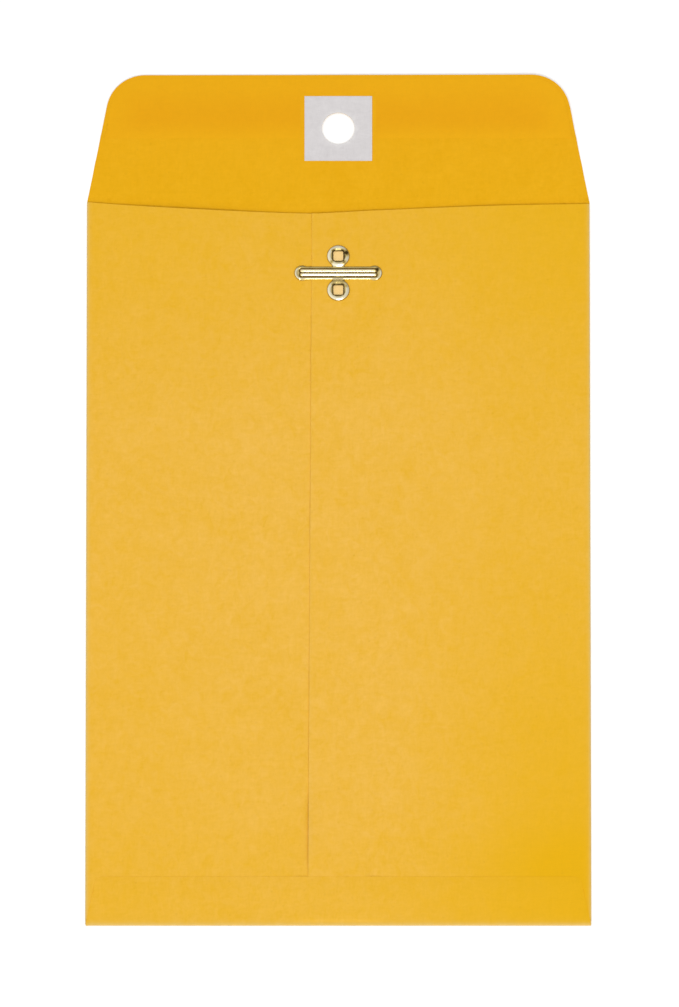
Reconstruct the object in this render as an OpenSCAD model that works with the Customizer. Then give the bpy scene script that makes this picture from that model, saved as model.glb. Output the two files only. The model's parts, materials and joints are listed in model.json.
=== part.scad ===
// Open-end clasp envelope, lying on its address side with the seal flap open.
// Millimetres: +X across the width, +Y towards the seal flap, +Z up from the table.
// The origin is the middle of the open envelope, on the table.

/* [Envelope] */
// Width across the side folds, 6 in
envelope_w = 152.4; // [90:0.1:330]
// Height from the bottom fold to the flap crease, 9 in
envelope_h = 228.6; // [120:0.1:450]
// Clear height inside the empty pocket, room for the clinched teeth
pocket_gap = 0.45; // [0.4:0.01:1.5]

/* [Paper, glue and gum] */
// Thickness of the kraft paper
paper_t = 0.16; // [0.1:0.01:0.3]
// Thickness of a glue line
glue_t = 0.04; // [0.02:0.01:0.1]
// Bare margin between a glue line and the edge of its paper
glue_margin = 1.5; // [0.5:0.1:3]
// Thickness of the dry gum on the seal flap
gum_t = 0.05; // [0.02:0.01:0.1]
// Depth of the gum band, from the free edge of the flap
gum_depth = 20; // [10:0.5:25]
// Bare margin round the gum band
gum_margin = 1.2; // [0.5:0.1:3]

/* [Seal flap] */
// Height of the flap above its crease, 1.6 in
flap_h = 40.6; // [36:0.1:80]
// How far each side of the flap slopes in
flap_taper = 7.9; // [2:0.1:20]
// Radius of the flap's free corners
flap_corner_r = 11.8; // [4:0.1:20]
// Diameter of the eyelet hole
eyelet_d = 10; // [8.4:0.1:12]
// Side of the square patch round the eyelet
patch_side = 20.5; // [16:0.1:23]
// Thickness of the patch
patch_t = 0.1; // [0.05:0.01:0.2]

/* [Back seam] */
// Width of the overlap where the right panel is glued over the left one
seam_overlap = 16.8; // [12:0.1:30]
// How far the right panel's free edge leans out, from the crease down to the bottom
seam_lean = 1.2; // [0:0.1:2]
// Drop of the throat's point below the crease
throat_drop = 3.4; // [1:0.1:10]
// Drop of the throat's two ends below the crease
throat_end_drop = 0.5; // [0.2:0.1:0.9]
// Sideways place of the throat's point
throat_x = -5.9; // [-8:0.1:8]
// Bow of the throat's left edge, upwards
throat_left_bow = 0.1; // [0:0.05:0.8]
// Bow of the throat's right edge, upwards
throat_right_bow = 0.7; // [0:0.05:0.8]
// Run of a slope where paper climbs over the seam
climb_run = 1.2; // [0.6:0.1:3]
// Clearance between a slope and the paper edge that it climbs over
climb_clearance = 0.3; // [0.1:0.05:1]

/* [Bottom flap] */
// Height of the bottom flap above the bottom fold
bottom_flap_h = 15.3; // [10:0.1:40]
// How far each side of the bottom flap slopes in
bottom_flap_taper = 2.4; // [1:0.1:6]
// Radius of the bottom flap's free corners
bottom_flap_r = 2.5; // [1:0.1:5]
// Set-back of the back panels from the bottom fold
bottom_setback = 1.8; // [1.5:0.1:3]

/* [Clasp] */
// Thickness of the clasp's sheet metal
tin_t = 0.25; // [0.15:0.01:0.3]
// Distance of the clasp's middle below the crease
clasp_reach = 22.6; // [18:0.1:30]
// Extra reach of the eyelet, which a full pocket takes up round the crease
eyelet_allowance = 1; // [0:0.1:1.5]
// Span of the two prongs, tip to tip
clasp_span = 26.6; // [20:0.1:34]
// Width of a prong
prong_w = 4.1; // [3.4:0.1:4.9]
// Diameter of a prong's spoon-shaped tip
tip_d = 4.7; // [4.1:0.1:6]
// Radius of each of the two stiffening beads pressed along a prong
bead_r = 0.62; // [0.5:0.01:0.75]
// Distance from a prong's tip to the end of its beads
bead_inset = 1.6; // [1:0.1:3]
// Distance of a lobe's middle from the clasp's middle
lobe_reach = 5.4; // [5.2:0.1:8]
// Radius of a lobe
lobe_r = 3.45; // [3:0.05:3.8]
// Height of a lobe's rounded crown
crown_h = 0.6; // [0.4:0.05:0.8]
// Side of the square hole pierced in a lobe
burr_side = 3.5; // [2.8:0.1:3.8]
// Length of a tooth that is clinched under the paper
tooth_reach = 1.1; // [0.6:0.1:1.5]
// Width of a tooth's blunt point
tooth_point = 0.3; // [0.1:0.1:0.6]
// Width of the neck between a lobe and the prongs
neck_w = 3.7; // [3:0.1:4.2]
// Radius of the hollow corner where a neck runs into its lobe
neck_corner_r = 1.2; // [0.6:0.1:2]
// Clearance at a prong's bend line and between neighbouring teeth
bend_clearance = 0.05; // [0.02:0.01:0.15]

/* [Hidden] */
$fn = 64;

// Colours of the outer and inner faces of the paper, of the glue and of the metal
kraft = [0.93, 0.72, 0.24];
kraft_inner = [0.92, 0.68, 0.10];
gum_amber = [0.91, 0.65, 0.09];
glue_tan = [0.80, 0.70, 0.50];
patch_white = [0.84, 0.83, 0.83];
pale_brass = [0.86, 0.80, 0.58];

// Heights of the layers, from the table up
climb = paper_t + glue_t;
z_back = paper_t + pocket_gap;
z_back_top = z_back + paper_t;
z_seam_top = z_back_top + climb;
z_bottom_flap = z_back_top + glue_t;
z_bottom_flap_top = z_bottom_flap + paper_t;

// The folds are half rings that wrap the layers between them
side_fold_r = z_back_top / 2;
bottom_fold_r = z_bottom_flap_top / 2;

// Places across and along the envelope
x_edge = envelope_w / 2;
x_flat = x_edge - side_fold_r;
x_seam = seam_overlap / 2;
y_bottom = -(envelope_h + flap_h) / 2;
y_flat = y_bottom + bottom_fold_r;
y_back = y_flat + bottom_setback;
y_crease = y_bottom + envelope_h;
y_throat_end = y_crease - throat_end_drop;
y_throat_point = y_crease - throat_drop;
y_clasp = y_crease - clasp_reach;
y_eyelet = y_crease + clasp_reach + eyelet_allowance;
bow_steps = 12;

// The bottom flap's raised pad clears the right panel's own slope and its leaning free edge
x_climb = x_seam + climb_clearance;
x_pad = x_climb + max(climb_clearance, seam_lean);
y_pad = y_back - climb_clearance - climb_run;

// The clasp: its bend lines, bead ends and the round section of a lobe
x_bend = neck_w / 2 + 2 * bend_clearance;
x_tip = clasp_span / 2;
x_bead_end = x_tip - bead_inset - bead_r;
crown_in_r = burr_side / 2 - tin_t;
crown_mid_r = (lobe_r + crown_in_r) / 2;
crown_half_w = (lobe_r - crown_in_r) / 2;
crown_arc_r = (crown_half_w * crown_half_w + crown_h * crown_h) / (2 * crown_h);
clinch_depth = z_seam_top - z_back;
tooth_w = burr_side - 2 * tin_t - 4 * bend_clearance;
tooth_root_h = 0.8 * tin_t;

// The flap turns about a line halfway up the closed stack, a prong about the top of its beads
fold_clearance = 0.07;
echo(flap_axis = [0, y_crease, (z_seam_top + paper_t + fold_clearance) / 2]);
echo(right_prong_axis = [x_bend + bend_clearance / 2, y_clasp, z_seam_top + tin_t + bead_r]);
echo(eyelet_axis = [0, y_eyelet, (paper_t + patch_t) / 2]);

// A flat section with its height as Z, pulled along Y or along X
module along_y(from, to) translate([0, to, 0]) rotate([90, 0, 0]) linear_extrude(to - from) children();
module along_x(from, to) translate([from, 0, 0]) rotate([90, 0, 90]) linear_extrude(to - from) children();

// The half ring of a fold, opening towards -X, with its outside touching zero height
module fold_section(r) {
  translate([0, r]) difference() {
    circle(r);
    circle(r - paper_t);
    translate([-2 * r, -r]) square([2 * r, 2 * r]);
  }
}

// A flap on the line y = 0: sides that slope in and two round free corners
module flap_outline(base_w, h, taper, r) {
  side = sqrt(taper * taper + h * h);
  corner_x = base_w / 2 - (r * side + (h - r) * taper) / h;
  tangent = [corner_x + r * h / side, h - r + r * taper / side];
  polygon([
    [-base_w / 2, 0], [base_w / 2, 0], tangent, [corner_x, h],
    [-corner_x, h], [-tangent.x, tangent.y]
  ]);
  for (s = [-1, 1]) translate([s * corner_x, h - r]) circle(r);
}

// The seal flap's outline drawn in by a margin on its three free sides
module seal_flap_outline(margin) {
  side = sqrt(flap_taper * flap_taper + flap_h * flap_h);
  h = flap_h - margin;
  translate([0, y_crease])
    flap_outline(envelope_w - 2 * margin * side / flap_h, h, flap_taper * h / flap_h, flap_corner_r - margin);
}

// Points along a shallow bow between two places, without its ends
function bow(from, to, rise) =
  [for (i = [1:bow_steps - 1]) let (t = i / bow_steps) from + t * (to - from) + [0, 4 * rise * t * (1 - t)]];

// Both back panels together, with the shallow bowed V of the throat at the top
module back_outline() {
  left_end = [-x_flat, y_throat_end];
  point = [throat_x, y_throat_point];
  right_end = [x_flat, y_throat_end];
  polygon(concat(
    [[-x_flat, y_back], [x_flat, y_back], right_end], bow(right_end, point, throat_right_bow),
    [point], bow(point, left_end, throat_left_bow), [left_end]
  ));
}

// The two square holes that the clasp's teeth go through
module burr_squares() {
  for (s = [-1, 1]) translate([0, y_clasp + s * lobe_reach]) square(burr_side, center = true);
}

module eyelet_bore() translate([0, y_eyelet, -1]) cylinder(d = eyelet_d, h = paper_t + patch_t + 2);

module front_panel() {
  color(kraft_inner) linear_extrude(paper_t) polygon([
    [-x_flat, y_flat], [x_flat, y_flat], [x_flat, y_throat_end], [x_edge, y_throat_end],
    [x_edge, y_crease], [-x_edge, y_crease], [-x_edge, y_throat_end], [-x_flat, y_throat_end]
  ]);
}

module right_fold() {
  color(kraft) along_y(y_flat, y_throat_end) translate([x_flat, 0]) fold_section(side_fold_r);
}

module left_fold() mirror([1, 0, 0]) right_fold();

module bottom_fold() {
  color(kraft) along_x(-x_flat, x_flat) translate([y_flat, 0]) mirror([1, 0]) fold_section(bottom_fold_r);
}

module left_back_panel() {
  color(kraft) translate([0, 0, z_back]) linear_extrude(paper_t) difference() {
    intersection() {
      back_outline();
      translate([-x_edge, y_bottom]) square([x_edge + x_seam, envelope_h]);
    }
    burr_squares();
  }
}

// The over layer: level on the seam, then a slope down to the height of its fold; its free edge leans
module right_back_panel() {
  x_lean = x_seam + seam_lean;
  lower_line = [[-x_lean, climb], [x_climb, climb], [x_climb + climb_run, 0], [x_flat, 0]];
  upper_line = [for (i = [3:-1:0]) lower_line[i] + [0, paper_t]];
  color(kraft) difference() {
    intersection() {
      translate([0, 0, z_back]) along_y(y_bottom, y_crease) polygon(concat(lower_line, upper_line));
      linear_extrude(2 * z_seam_top) intersection() {
        back_outline();
        polygon([[-x_lean, y_bottom], [x_edge, y_bottom], [x_edge, y_crease], [-x_seam, y_crease]]);
      }
    }
    linear_extrude(2 * z_seam_top) burr_squares();
  }
}

module seam_glue() {
  glue_x = x_seam - glue_margin;
  glue_y = y_back + glue_margin;
  color(glue_tan) translate([0, 0, z_back_top]) linear_extrude(glue_t) difference() {
    translate([-glue_x, glue_y]) square([2 * glue_x, y_throat_point - glue_margin - glue_y]);
    burr_squares();
  }
}

// All that lies under a sheet draped on the back at height z, with the pad raised over the seam
module under_drape(z, spare) {
  y_end = y_bottom + bottom_flap_h + 1 + spare;
  translate([-x_edge - spare, y_bottom - spare, -spare])
    cube([envelope_w + 2 * spare, bottom_flap_h + 1 + 2 * spare, z + spare]);
  intersection() {
    along_y(y_bottom, y_end) polygon([
      [-x_pad - climb_run, 0], [x_pad + climb_run, 0], [x_pad + climb_run, z],
      [x_pad, z + climb], [-x_pad, z + climb], [-x_pad - climb_run, z]
    ]);
    along_x(-x_edge, x_edge) polygon([
      [y_pad, 0], [y_end, 0], [y_end, z + climb], [y_pad + climb_run, z + climb], [y_pad, z]
    ]);
  }
}

// A draped sheet between two heights
module drape(from, to) {
  difference() {
    under_drape(to, 0);
    under_drape(from, 1);
  }
}

module bottom_flap_outline(margin) {
  h = bottom_flap_h - bottom_fold_r - margin;
  translate([0, y_flat])
    flap_outline(2 * (x_flat - margin), h, bottom_flap_taper, bottom_flap_r);
}

module bottom_flap() {
  color(kraft) intersection() {
    drape(z_bottom_flap, z_bottom_flap_top);
    linear_extrude(2 * z_seam_top) bottom_flap_outline(0);
  }
}

// The glue starts where the back panels start and stops short of the flap's free edges
module bottom_glue() {
  color(glue_tan) intersection() {
    drape(z_bottom_flap - glue_t, z_bottom_flap);
    linear_extrude(2 * z_seam_top) intersection() {
      bottom_flap_outline(glue_margin);
      translate([-x_edge, y_back]) square([envelope_w, bottom_flap_h]);
    }
  }
}

module seal_flap() {
  color(kraft_inner) difference() {
    linear_extrude(paper_t) seal_flap_outline(0);
    eyelet_bore();
  }
}

// The gum band along the free edge, with a window for the patch
module seal_gum() {
  window = patch_side + 2 * gum_margin;
  color(gum_amber) translate([0, 0, paper_t]) linear_extrude(gum_t) difference() {
    intersection() {
      seal_flap_outline(gum_margin);
      translate([-x_edge, y_crease + flap_h - gum_depth]) square([envelope_w, gum_depth]);
    }
    translate([0, y_eyelet]) square(window, center = true);
  }
}

module eyelet_patch() {
  color(patch_white) difference() {
    translate([0, y_eyelet, paper_t]) linear_extrude(patch_t) square(patch_side, center = true);
    eyelet_bore();
  }
}

module at_clasp() translate([0, y_clasp, z_seam_top]) children();

// Section across the prongs: a flat strip with two half-round beads, before hollowing
module bar_section() {
  translate([-prong_w / 2, 0]) square([prong_w, tin_t]);
  intersection() {
    for (s = [-1, 1]) translate([s * bead_r, tin_t]) circle(bead_r);
    translate([-prong_w, 0]) square([2 * prong_w, prong_w]);
  }
}

// The hollow under each bead, open below
module bead_hollow_section() {
  hollow_r = bead_r - tin_t;
  for (s = [-1, 1]) translate([s * bead_r, tin_t]) {
    circle(hollow_r);
    translate([-hollow_r, -2 * tin_t]) square([2 * hollow_r, 2 * tin_t]);
  }
}

// A crowned ring of sheet metal round one pierced hole
module lobe_ring() {
  rotate_extrude() intersection() {
    translate([crown_mid_r, crown_h - crown_arc_r]) difference() {
      circle(crown_arc_r);
      circle(crown_arc_r - tin_t);
    }
    square([lobe_r + 1, crown_h + 1]);
  }
}

// One of the four teeth of a pierced hole: down through the paper, then clinched outwards
module tooth() {
  root_x = burr_side / 2 - tin_t;
  translate([root_x, -tooth_w / 2, -clinch_depth - tin_t])
    cube([tin_t, tooth_w, clinch_depth + tin_t + tooth_root_h]);
  translate([0, 0, -clinch_depth - tin_t]) linear_extrude(tin_t) polygon([
    [root_x, -tooth_w / 2], [burr_side / 2 + tooth_reach, -tooth_point / 2],
    [burr_side / 2 + tooth_reach, tooth_point / 2], [root_x, tooth_w / 2]
  ]);
}

// The flat web in the corner between a lobe at the origin and the neck below it, on the right
module neck_web() {
  side = neck_w / 2 + neck_corner_r;
  reach = lobe_r + neck_corner_r;
  drop = sqrt(reach * reach - side * side);
  linear_extrude(tin_t) difference() {
    polygon([[0, -drop], [side, -drop], [side, -drop] * crown_mid_r / reach, [0, -crown_mid_r]]);
    translate([side, -drop]) circle(neck_corner_r);
  }
}

// The fixed part of the stamping: two lobes, their necks and the middle of the beaded bar
module clasp_base() {
  neck_end = lobe_reach - crown_mid_r;
  color(pale_brass) at_clasp() {
    difference() {
      union() {
        for (upper = [0, 1]) mirror([0, 1 - upper, 0]) translate([0, lobe_reach, 0]) {
          lobe_ring();
          for (left = [0, 1]) mirror([left, 0, 0]) neck_web();
        }
        translate([-neck_w / 2, -neck_end, 0]) cube([neck_w, 2 * neck_end, tin_t]);
        along_x(-x_bend, x_bend) bar_section();
      }
      along_x(-x_bend - 1, x_bend + 1) bead_hollow_section();
      for (s = [-1, 1]) translate([0, s * lobe_reach, -1])
        linear_extrude(2 + crown_h) square(burr_side, center = true);
    }
    for (s = [-1, 1], a = [0:90:270]) translate([0, s * lobe_reach, 0]) rotate(a) tooth();
  }
}

// A prong from its bend line to its spoon tip, with both beads ending in round noses
module right_prong() {
  root = x_bend + bend_clearance;
  hollow_r = bead_r - tin_t;
  color(pale_brass) at_clasp() difference() {
    union() {
      along_x(root, x_bead_end) bar_section();
      translate([root, -prong_w / 2, 0]) cube([x_tip - tip_d / 2 - root, prong_w, tin_t]);
      translate([x_tip - tip_d / 2, 0, 0]) cylinder(d = tip_d, h = tin_t);
      for (s = [-1, 1]) translate([x_bead_end, s * bead_r, 0]) intersection() {
        translate([0, 0, tin_t]) sphere(bead_r);
        cylinder(r = 2 * bead_r, h = 2 * bead_r);
      }
    }
    along_x(root - 1, x_bead_end) bead_hollow_section();
    for (s = [-1, 1]) translate([x_bead_end, s * bead_r, tin_t]) {
      sphere(hollow_r);
      translate([0, 0, -2 * tin_t]) cylinder(r = hollow_r, h = 2 * tin_t);
    }
  }
}

module left_prong() mirror([1, 0, 0]) right_prong();

front_panel();
left_fold();
right_fold();
bottom_fold();
left_back_panel();
right_back_panel();
bottom_flap();
seal_flap();
seam_glue();
bottom_glue();
seal_gum();
eyelet_patch();
clasp_base();
left_prong();
right_prong();
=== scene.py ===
# %% [markdown]
# # The looks of a clasp envelope
# The CAD model gives this envelope its true sizes, its layers and its joints. This lesson dresses it:
# paper that is cut, folded and a little restless, a film of gum, a patched eyelet and a bright stamped
# clasp. The CAD model is loaded first and never moves, so every piece made here is drawn straight in
# its place.

# %% Load the frame
import json
import math

import bpy
import numpy as np
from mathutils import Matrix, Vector
from mathutils.geometry import delaunay_2d_cdt


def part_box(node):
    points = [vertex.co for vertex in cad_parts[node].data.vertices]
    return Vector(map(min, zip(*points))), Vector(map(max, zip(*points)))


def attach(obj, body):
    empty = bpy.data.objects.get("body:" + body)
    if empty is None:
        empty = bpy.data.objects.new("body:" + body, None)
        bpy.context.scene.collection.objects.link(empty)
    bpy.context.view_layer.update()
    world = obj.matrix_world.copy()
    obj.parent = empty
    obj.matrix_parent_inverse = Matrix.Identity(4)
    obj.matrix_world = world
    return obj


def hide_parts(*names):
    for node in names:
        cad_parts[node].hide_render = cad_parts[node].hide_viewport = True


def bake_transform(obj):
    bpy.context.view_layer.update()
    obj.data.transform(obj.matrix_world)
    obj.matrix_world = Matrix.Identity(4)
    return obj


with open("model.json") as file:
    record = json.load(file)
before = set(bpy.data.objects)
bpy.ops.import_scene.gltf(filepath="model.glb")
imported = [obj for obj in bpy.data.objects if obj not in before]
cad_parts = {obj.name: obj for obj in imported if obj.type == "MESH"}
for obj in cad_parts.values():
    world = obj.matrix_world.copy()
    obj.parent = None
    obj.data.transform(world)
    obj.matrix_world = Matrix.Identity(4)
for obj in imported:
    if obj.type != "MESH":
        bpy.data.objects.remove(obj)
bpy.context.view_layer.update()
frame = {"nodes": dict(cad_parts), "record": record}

scene = bpy.context.scene

# %% [markdown]
# ## Sizes
# Paper is thin, so millimetres are the handy unit here, and a mesh is turned to metres when it is
# made. The places of the layers and folds could be typed in again, but then they might drift away from
# the CAD model, so they are read from its nodes. A value that no box can tell is written down where it
# is first used.

# %% Read the places of the paper
MM = 0.001


def box_mm(node):
    """The lowest and highest corner of a CAD node, in millimetres."""
    low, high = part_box(node)
    return low / MM, high / MM


front_low, front_high = box_mm("front_panel")
left_low, left_high = box_mm("left_back_panel")
right_high = box_mm("right_back_panel")[1]
bottom_low, bottom_high = box_mm("bottom_flap")
flap_high = box_mm("seal_flap")[1]

paper_t = front_high.z - front_low.z
x_edge, x_flat, x_seam = flap_high.x, -left_low.x, left_high.x
y_bottom = box_mm("bottom_fold")[0].y
y_flat, y_crease = front_low.y, front_high.y
y_throat_end = left_high.y
print(f"paper {paper_t:.2f} mm, side folds at {x_flat:.2f} mm, crease at {y_crease:.2f} mm")

# %% [markdown]
# ## Camera
# The envelope is seen from above and a little from its bottom end. Its height looks shorter than its
# width says, and that ratio gives the camera's elevation. The sides run parallel, so the lens is long
# and stands far away.

# %% Set up the camera
photo_w_px, photo_h_px = 679, 1007
body_w_px, open_h_px = 504.0, 850.5
middle_x_px, middle_y_px = 338.3, 498.3
lens_mm, sensor_mm, clip_end = 1100, 36, 40


def add_object(name, data):
    """A new object in the scene for a camera, a lamp or a mesh."""
    thing = bpy.data.objects.new(name, data)
    scene.collection.objects.link(thing)
    return thing


def look_at(thing, target, towards, distance):
    """Stand a camera or a lamp at this distance from its target, in this direction, facing it."""
    thing.location = target + towards * distance
    thing.rotation_mode = "QUATERNION"
    thing.rotation_quaternion = (-towards).to_track_quat("-Z", "Y")


px_per_mm = body_w_px / (2 * x_edge)
elevation = math.asin(open_h_px / (flap_high.y - y_bottom) / px_per_mm)
distance = lens_mm * photo_h_px / px_per_mm / sensor_mm * MM
aim_x = (photo_w_px / 2 - middle_x_px) / px_per_mm
aim_y = -(photo_h_px / 2 - middle_y_px) / px_per_mm / math.sin(elevation)
aim = Vector((aim_x, aim_y, left_high.z)) * MM

camera = add_object("camera", bpy.data.cameras.new("camera"))
camera.data.lens = lens_mm
camera.data.sensor_width = sensor_mm
camera.data.clip_end = clip_end
look_at(camera, aim, Vector((0, -math.cos(elevation), math.sin(elevation))), distance)
scene.camera = camera
scene.view_settings.view_transform = "Standard"
print(f"camera elevation {math.degrees(elevation):.1f} degrees, distance {distance:.2f} m")

# %% [markdown]
# ## Building node trees
# Shaders and Geometry Nodes are built the same way: add a node, set its options, and give each input a
# value or a link. Clicking them together in the editor is quicker once, but a script can be read,
# changed and run again. A few small helpers keep that to about one line a node.

# %% Helpers for node trees


def add(tree, kind, inputs=None, **options):
    """Add a node with these options, and set or link its inputs, which go by name or by number."""
    node = tree.nodes.new(kind)
    for name, value in options.items():
        setattr(node, name, value)
    for name, value in (inputs or {}).items():
        if isinstance(value, bpy.types.NodeSocket):
            tree.links.new(value, node.inputs[name])
        else:
            node.inputs[name].default_value = value
    return node


def calc(tree, operation, *values, clamp=False):
    """The output of one Math node."""
    node = add(tree, "ShaderNodeMath", dict(enumerate(values)), operation=operation, use_clamp=clamp)
    return node.outputs[0]


def vector_calc(tree, operation, *values, **scale):
    """The output of one Vector Math node. Its factor, where it takes one, is given as Scale."""
    node = add(tree, "ShaderNodeVectorMath", {**dict(enumerate(values)), **scale}, operation=operation)
    return node.outputs["Value" if operation == "DOT_PRODUCT" else "Vector"]


def mix_colours(tree, factor, *colours):
    """The output of one colour Mix node. A colour is a link or three numbers."""
    first, second = (c if isinstance(c, bpy.types.NodeSocket) else (*c, 1) for c in colours)
    return add(tree, "ShaderNodeMix", {0: factor, 6: first, 7: second}, data_type="RGBA").outputs[2]


def new_group(name, kind, inputs, outputs):
    """A node group with these sockets, each a name and a type, and the sockets of its input node."""
    group = bpy.data.node_groups.new(name, kind)
    for side, sockets in (("OUTPUT", outputs), ("INPUT", inputs)):
        for socket, value in sockets:
            group.interface.new_socket(socket, in_out=side, socket_type="NodeSocket" + value)
    return group, add(group, "NodeGroupInput").outputs


def new_material(name):
    """A material with nodes, its tree and the inputs of its Principled BSDF."""
    material = bpy.data.materials.new(name)
    material.use_nodes = True
    return material, material.node_tree, material.node_tree.nodes["Principled BSDF"].inputs


helpers = (add, calc, vector_calc, mix_colours, new_group, new_material)
print("node helpers:", [helper.__name__ for helper in helpers])

# %% [markdown]
# ## Sky
# The paper is lit softly from everywhere, a little more from the lower left. A dark belt low in the
# sky does for the metal what black cards do in a studio: it draws dark lines along the rounded beads.
# A photographed studio would do the same, but needs a file. To the camera itself the sky is plain
# white.

# %% Sky with a dark belt
sky_strength = 0.915
uneven_pull = (-0.25, -0.3, 0.0)
belt_stops = [(0.05, 1.0), (0.1, 0.08), (0.2, 0.1), (0.38, 0.9)]
white = (1, 1, 1)

sky = bpy.data.worlds.new("studio_sky")
sky.use_nodes = True
scene.world = sky
tree = sky.node_tree
direction = add(tree, "ShaderNodeTexCoord").outputs["Generated"]
upward = add(tree, "ShaderNodeSeparateXYZ", {0: direction}).outputs["Z"]
belt = add(tree, "ShaderNodeValToRGB", {"Fac": upward})
for place, _ in belt_stops[1:-1]:
    belt.color_ramp.elements.new(place)
for stop, (place, level) in zip(belt.color_ramp.elements, belt_stops):
    stop.position = place
    stop.color = (level, level, level, 1)
uneven = calc(tree, "ADD", vector_calc(tree, "DOT_PRODUCT", direction, uneven_pull), 1.0)
strength = calc(tree, "MULTIPLY", uneven, sky_strength)
rays = add(tree, "ShaderNodeLightPath").outputs
seen = calc(tree, "MAXIMUM", rays["Is Camera Ray"], rays["Is Transmission Ray"])
to_white = calc(tree, "SUBTRACT", 1.0, strength)
background = tree.nodes["Background"].inputs
tree.links.new(mix_colours(tree, seen, belt.outputs["Color"], white), background["Color"])
tree.links.new(calc(tree, "MULTIPLY_ADD", seen, to_white, strength), background["Strength"])
print("sky with a dark belt from", belt_stops[1][0], "to", belt_stops[2][0], "of the way up")

# %% [markdown]
# ## Lamp
# One wide lamp stands at the bottom end, so that each free edge throws a thin shadow towards the flap.
# A small lamp would draw hard shadows, which soft studio light doesn't have. Sky and lamp together are
# about as bright as one plain white sky, so a colour renders much as it is written.

# %% Wide lamp
lamp_distance, lamp_size = 4.0, (1.7, 1.1)
lamp_elevation, lamp_azimuth = math.radians(54), math.radians(12)
lamp_share = 0.26

lamp = add_object("softbox", bpy.data.lights.new("softbox", "AREA"))
lamp.data.shape = "RECTANGLE"
lamp.data.size, lamp.data.size_y = lamp_size
lamp.data.energy = lamp_share * math.pi**2 * lamp_distance**2 / math.sin(lamp_elevation)
lamp_x = math.sin(lamp_azimuth) * math.cos(lamp_elevation)
lamp_y = -math.cos(lamp_azimuth) * math.cos(lamp_elevation)
look_at(lamp, Vector(), Vector((lamp_x, lamp_y, math.sin(lamp_elevation))), lamp_distance)
lamp.visible_camera = False
print("lamp of", round(lamp.data.energy), "W at", lamp_distance, "m")

# %% [markdown]
# ## Floor
# The envelope lies on a plain white table. The table is a little darker than white to the light, so it
# doesn't flood the paper from below, and adds the rest of its whiteness for the eye and for
# reflections. From below the table is clear, so it doesn't hide the envelope.

# %% White table
floor_drop, floor_half = 0.05 * MM, 30.0
floor_grey, floor_glow = 0.86, 0.24

floor_mesh = bpy.data.meshes.new("table_top")
signs = ((-1, -1), (1, -1), (1, 1), (-1, 1))
corners = [(sx * floor_half, sy * floor_half, -floor_drop) for sx, sy in signs]
floor_mesh.from_pydata(corners, [], [(0, 1, 2, 3)])
floor = add_object("table_top", floor_mesh)
table_white, tree, surface = new_material("table_white")
surface["Base Color"].default_value = (floor_grey, floor_grey, floor_grey, 1)
surface["Roughness"].default_value = 0.9
surface["Specular IOR Level"].default_value = 0.1
surface["Emission Color"].default_value = (*white, 1)
rays = add(tree, "ShaderNodeLightPath").outputs
seen = calc(tree, "MAXIMUM", rays["Is Camera Ray"], rays["Is Glossy Ray"])
seen = calc(tree, "MAXIMUM", seen, rays["Is Transmission Ray"])
tree.links.new(calc(tree, "MULTIPLY", seen, floor_glow), surface["Emission Strength"])
clear = add(tree, "ShaderNodeBsdfTransparent").outputs[0]
below = add(tree, "ShaderNodeNewGeometry").outputs["Backfacing"]
opaque = tree.nodes["Principled BSDF"].outputs[0]
both = add(tree, "ShaderNodeMixShader", {0: below, 1: opaque, 2: clear}).outputs[0]
tree.links.new(both, tree.nodes["Material Output"].inputs["Surface"])
floor_mesh.materials.append(table_white)
print("table top at", -floor_drop / MM, "mm")

# %% [markdown]
# ## Cutting a flat sheet
# Paper and tin both start flat: an outline, perhaps some holes, and a net of points inside. The net's
# lines are chosen for each piece, close together where the sheet will bend. First come the helpers
# that space the lines, draw arcs, let the outline meet the net and tell what lies on the sheet.

# %% Outlines and net lines


def spaced(*stops):
    """Places from stop to stop: each stop after the first is (place, number of steps)."""
    places = [stops[0]]
    for place, steps in stops[1:]:
        places.extend(np.linspace(places[-1], place, steps + 1)[1:])
    return np.array(places, float)


def least_gap(lines):
    """Two fifths of the way from each line to its nearer neighbour."""
    gaps = np.diff(lines)
    return 0.4 * np.minimum(np.append(gaps, gaps[-1]), np.insert(gaps, 0, gaps[0]))


def arc(centre, radius, start, end, steps):
    """Points of an arc, by angles in degrees, both ends included."""
    angles = np.radians(np.linspace(start, end, steps + 1))
    return [(centre[0] + radius * math.cos(a), centre[1] + radius * math.sin(a)) for a in angles]


def meet_lines(outline, xs, ys, least=0.02):
    """The closed outline with a point added wherever a line of the net crosses it."""
    points = []
    for (x0, y0), (x1, y1) in zip(outline, outline[1:] + outline[:1]):
        shares = [0.0]
        shares += [(x - x0) / (x1 - x0) for x in xs if min(x0, x1) < x < max(x0, x1)]
        shares += [(y - y0) / (y1 - y0) for y in ys if min(y0, y1) < y < max(y0, y1)]
        length = math.hypot(x1 - x0, y1 - y0)
        kept = []
        for share in sorted(shares):
            clear_before = not kept or (share - kept[-1]) * length > least
            if clear_before and (share == 0 or (1 - share) * length > least):
                kept.append(share)
        points += [(x0 + (x1 - x0) * share, y0 + (y1 - y0) * share) for share in kept]
    return points


def inside(points, outline):
    """Which points lie within a closed outline, by the even-odd rule."""
    x, y = points[:, 0, None], points[:, 1, None]
    a = np.array(outline)
    b = np.roll(a, -1, axis=0)
    spans = (a[:, 1] > y) != (b[:, 1] > y)
    rise = np.where(b[:, 1] == a[:, 1], 1, b[:, 1] - a[:, 1])
    crossing = a[:, 0] + (y - a[:, 1]) / rise * (b[:, 0] - a[:, 0])
    return (spans & (x < crossing)).sum(1) % 2 == 1


def within_sheet(points, outline, holes):
    """Which points lie on the sheet: inside its outline and outside its holes."""
    on_sheet = inside(points, outline)
    for hole in holes:
        on_sheet &= ~inside(points, hole)
    return on_sheet


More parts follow.
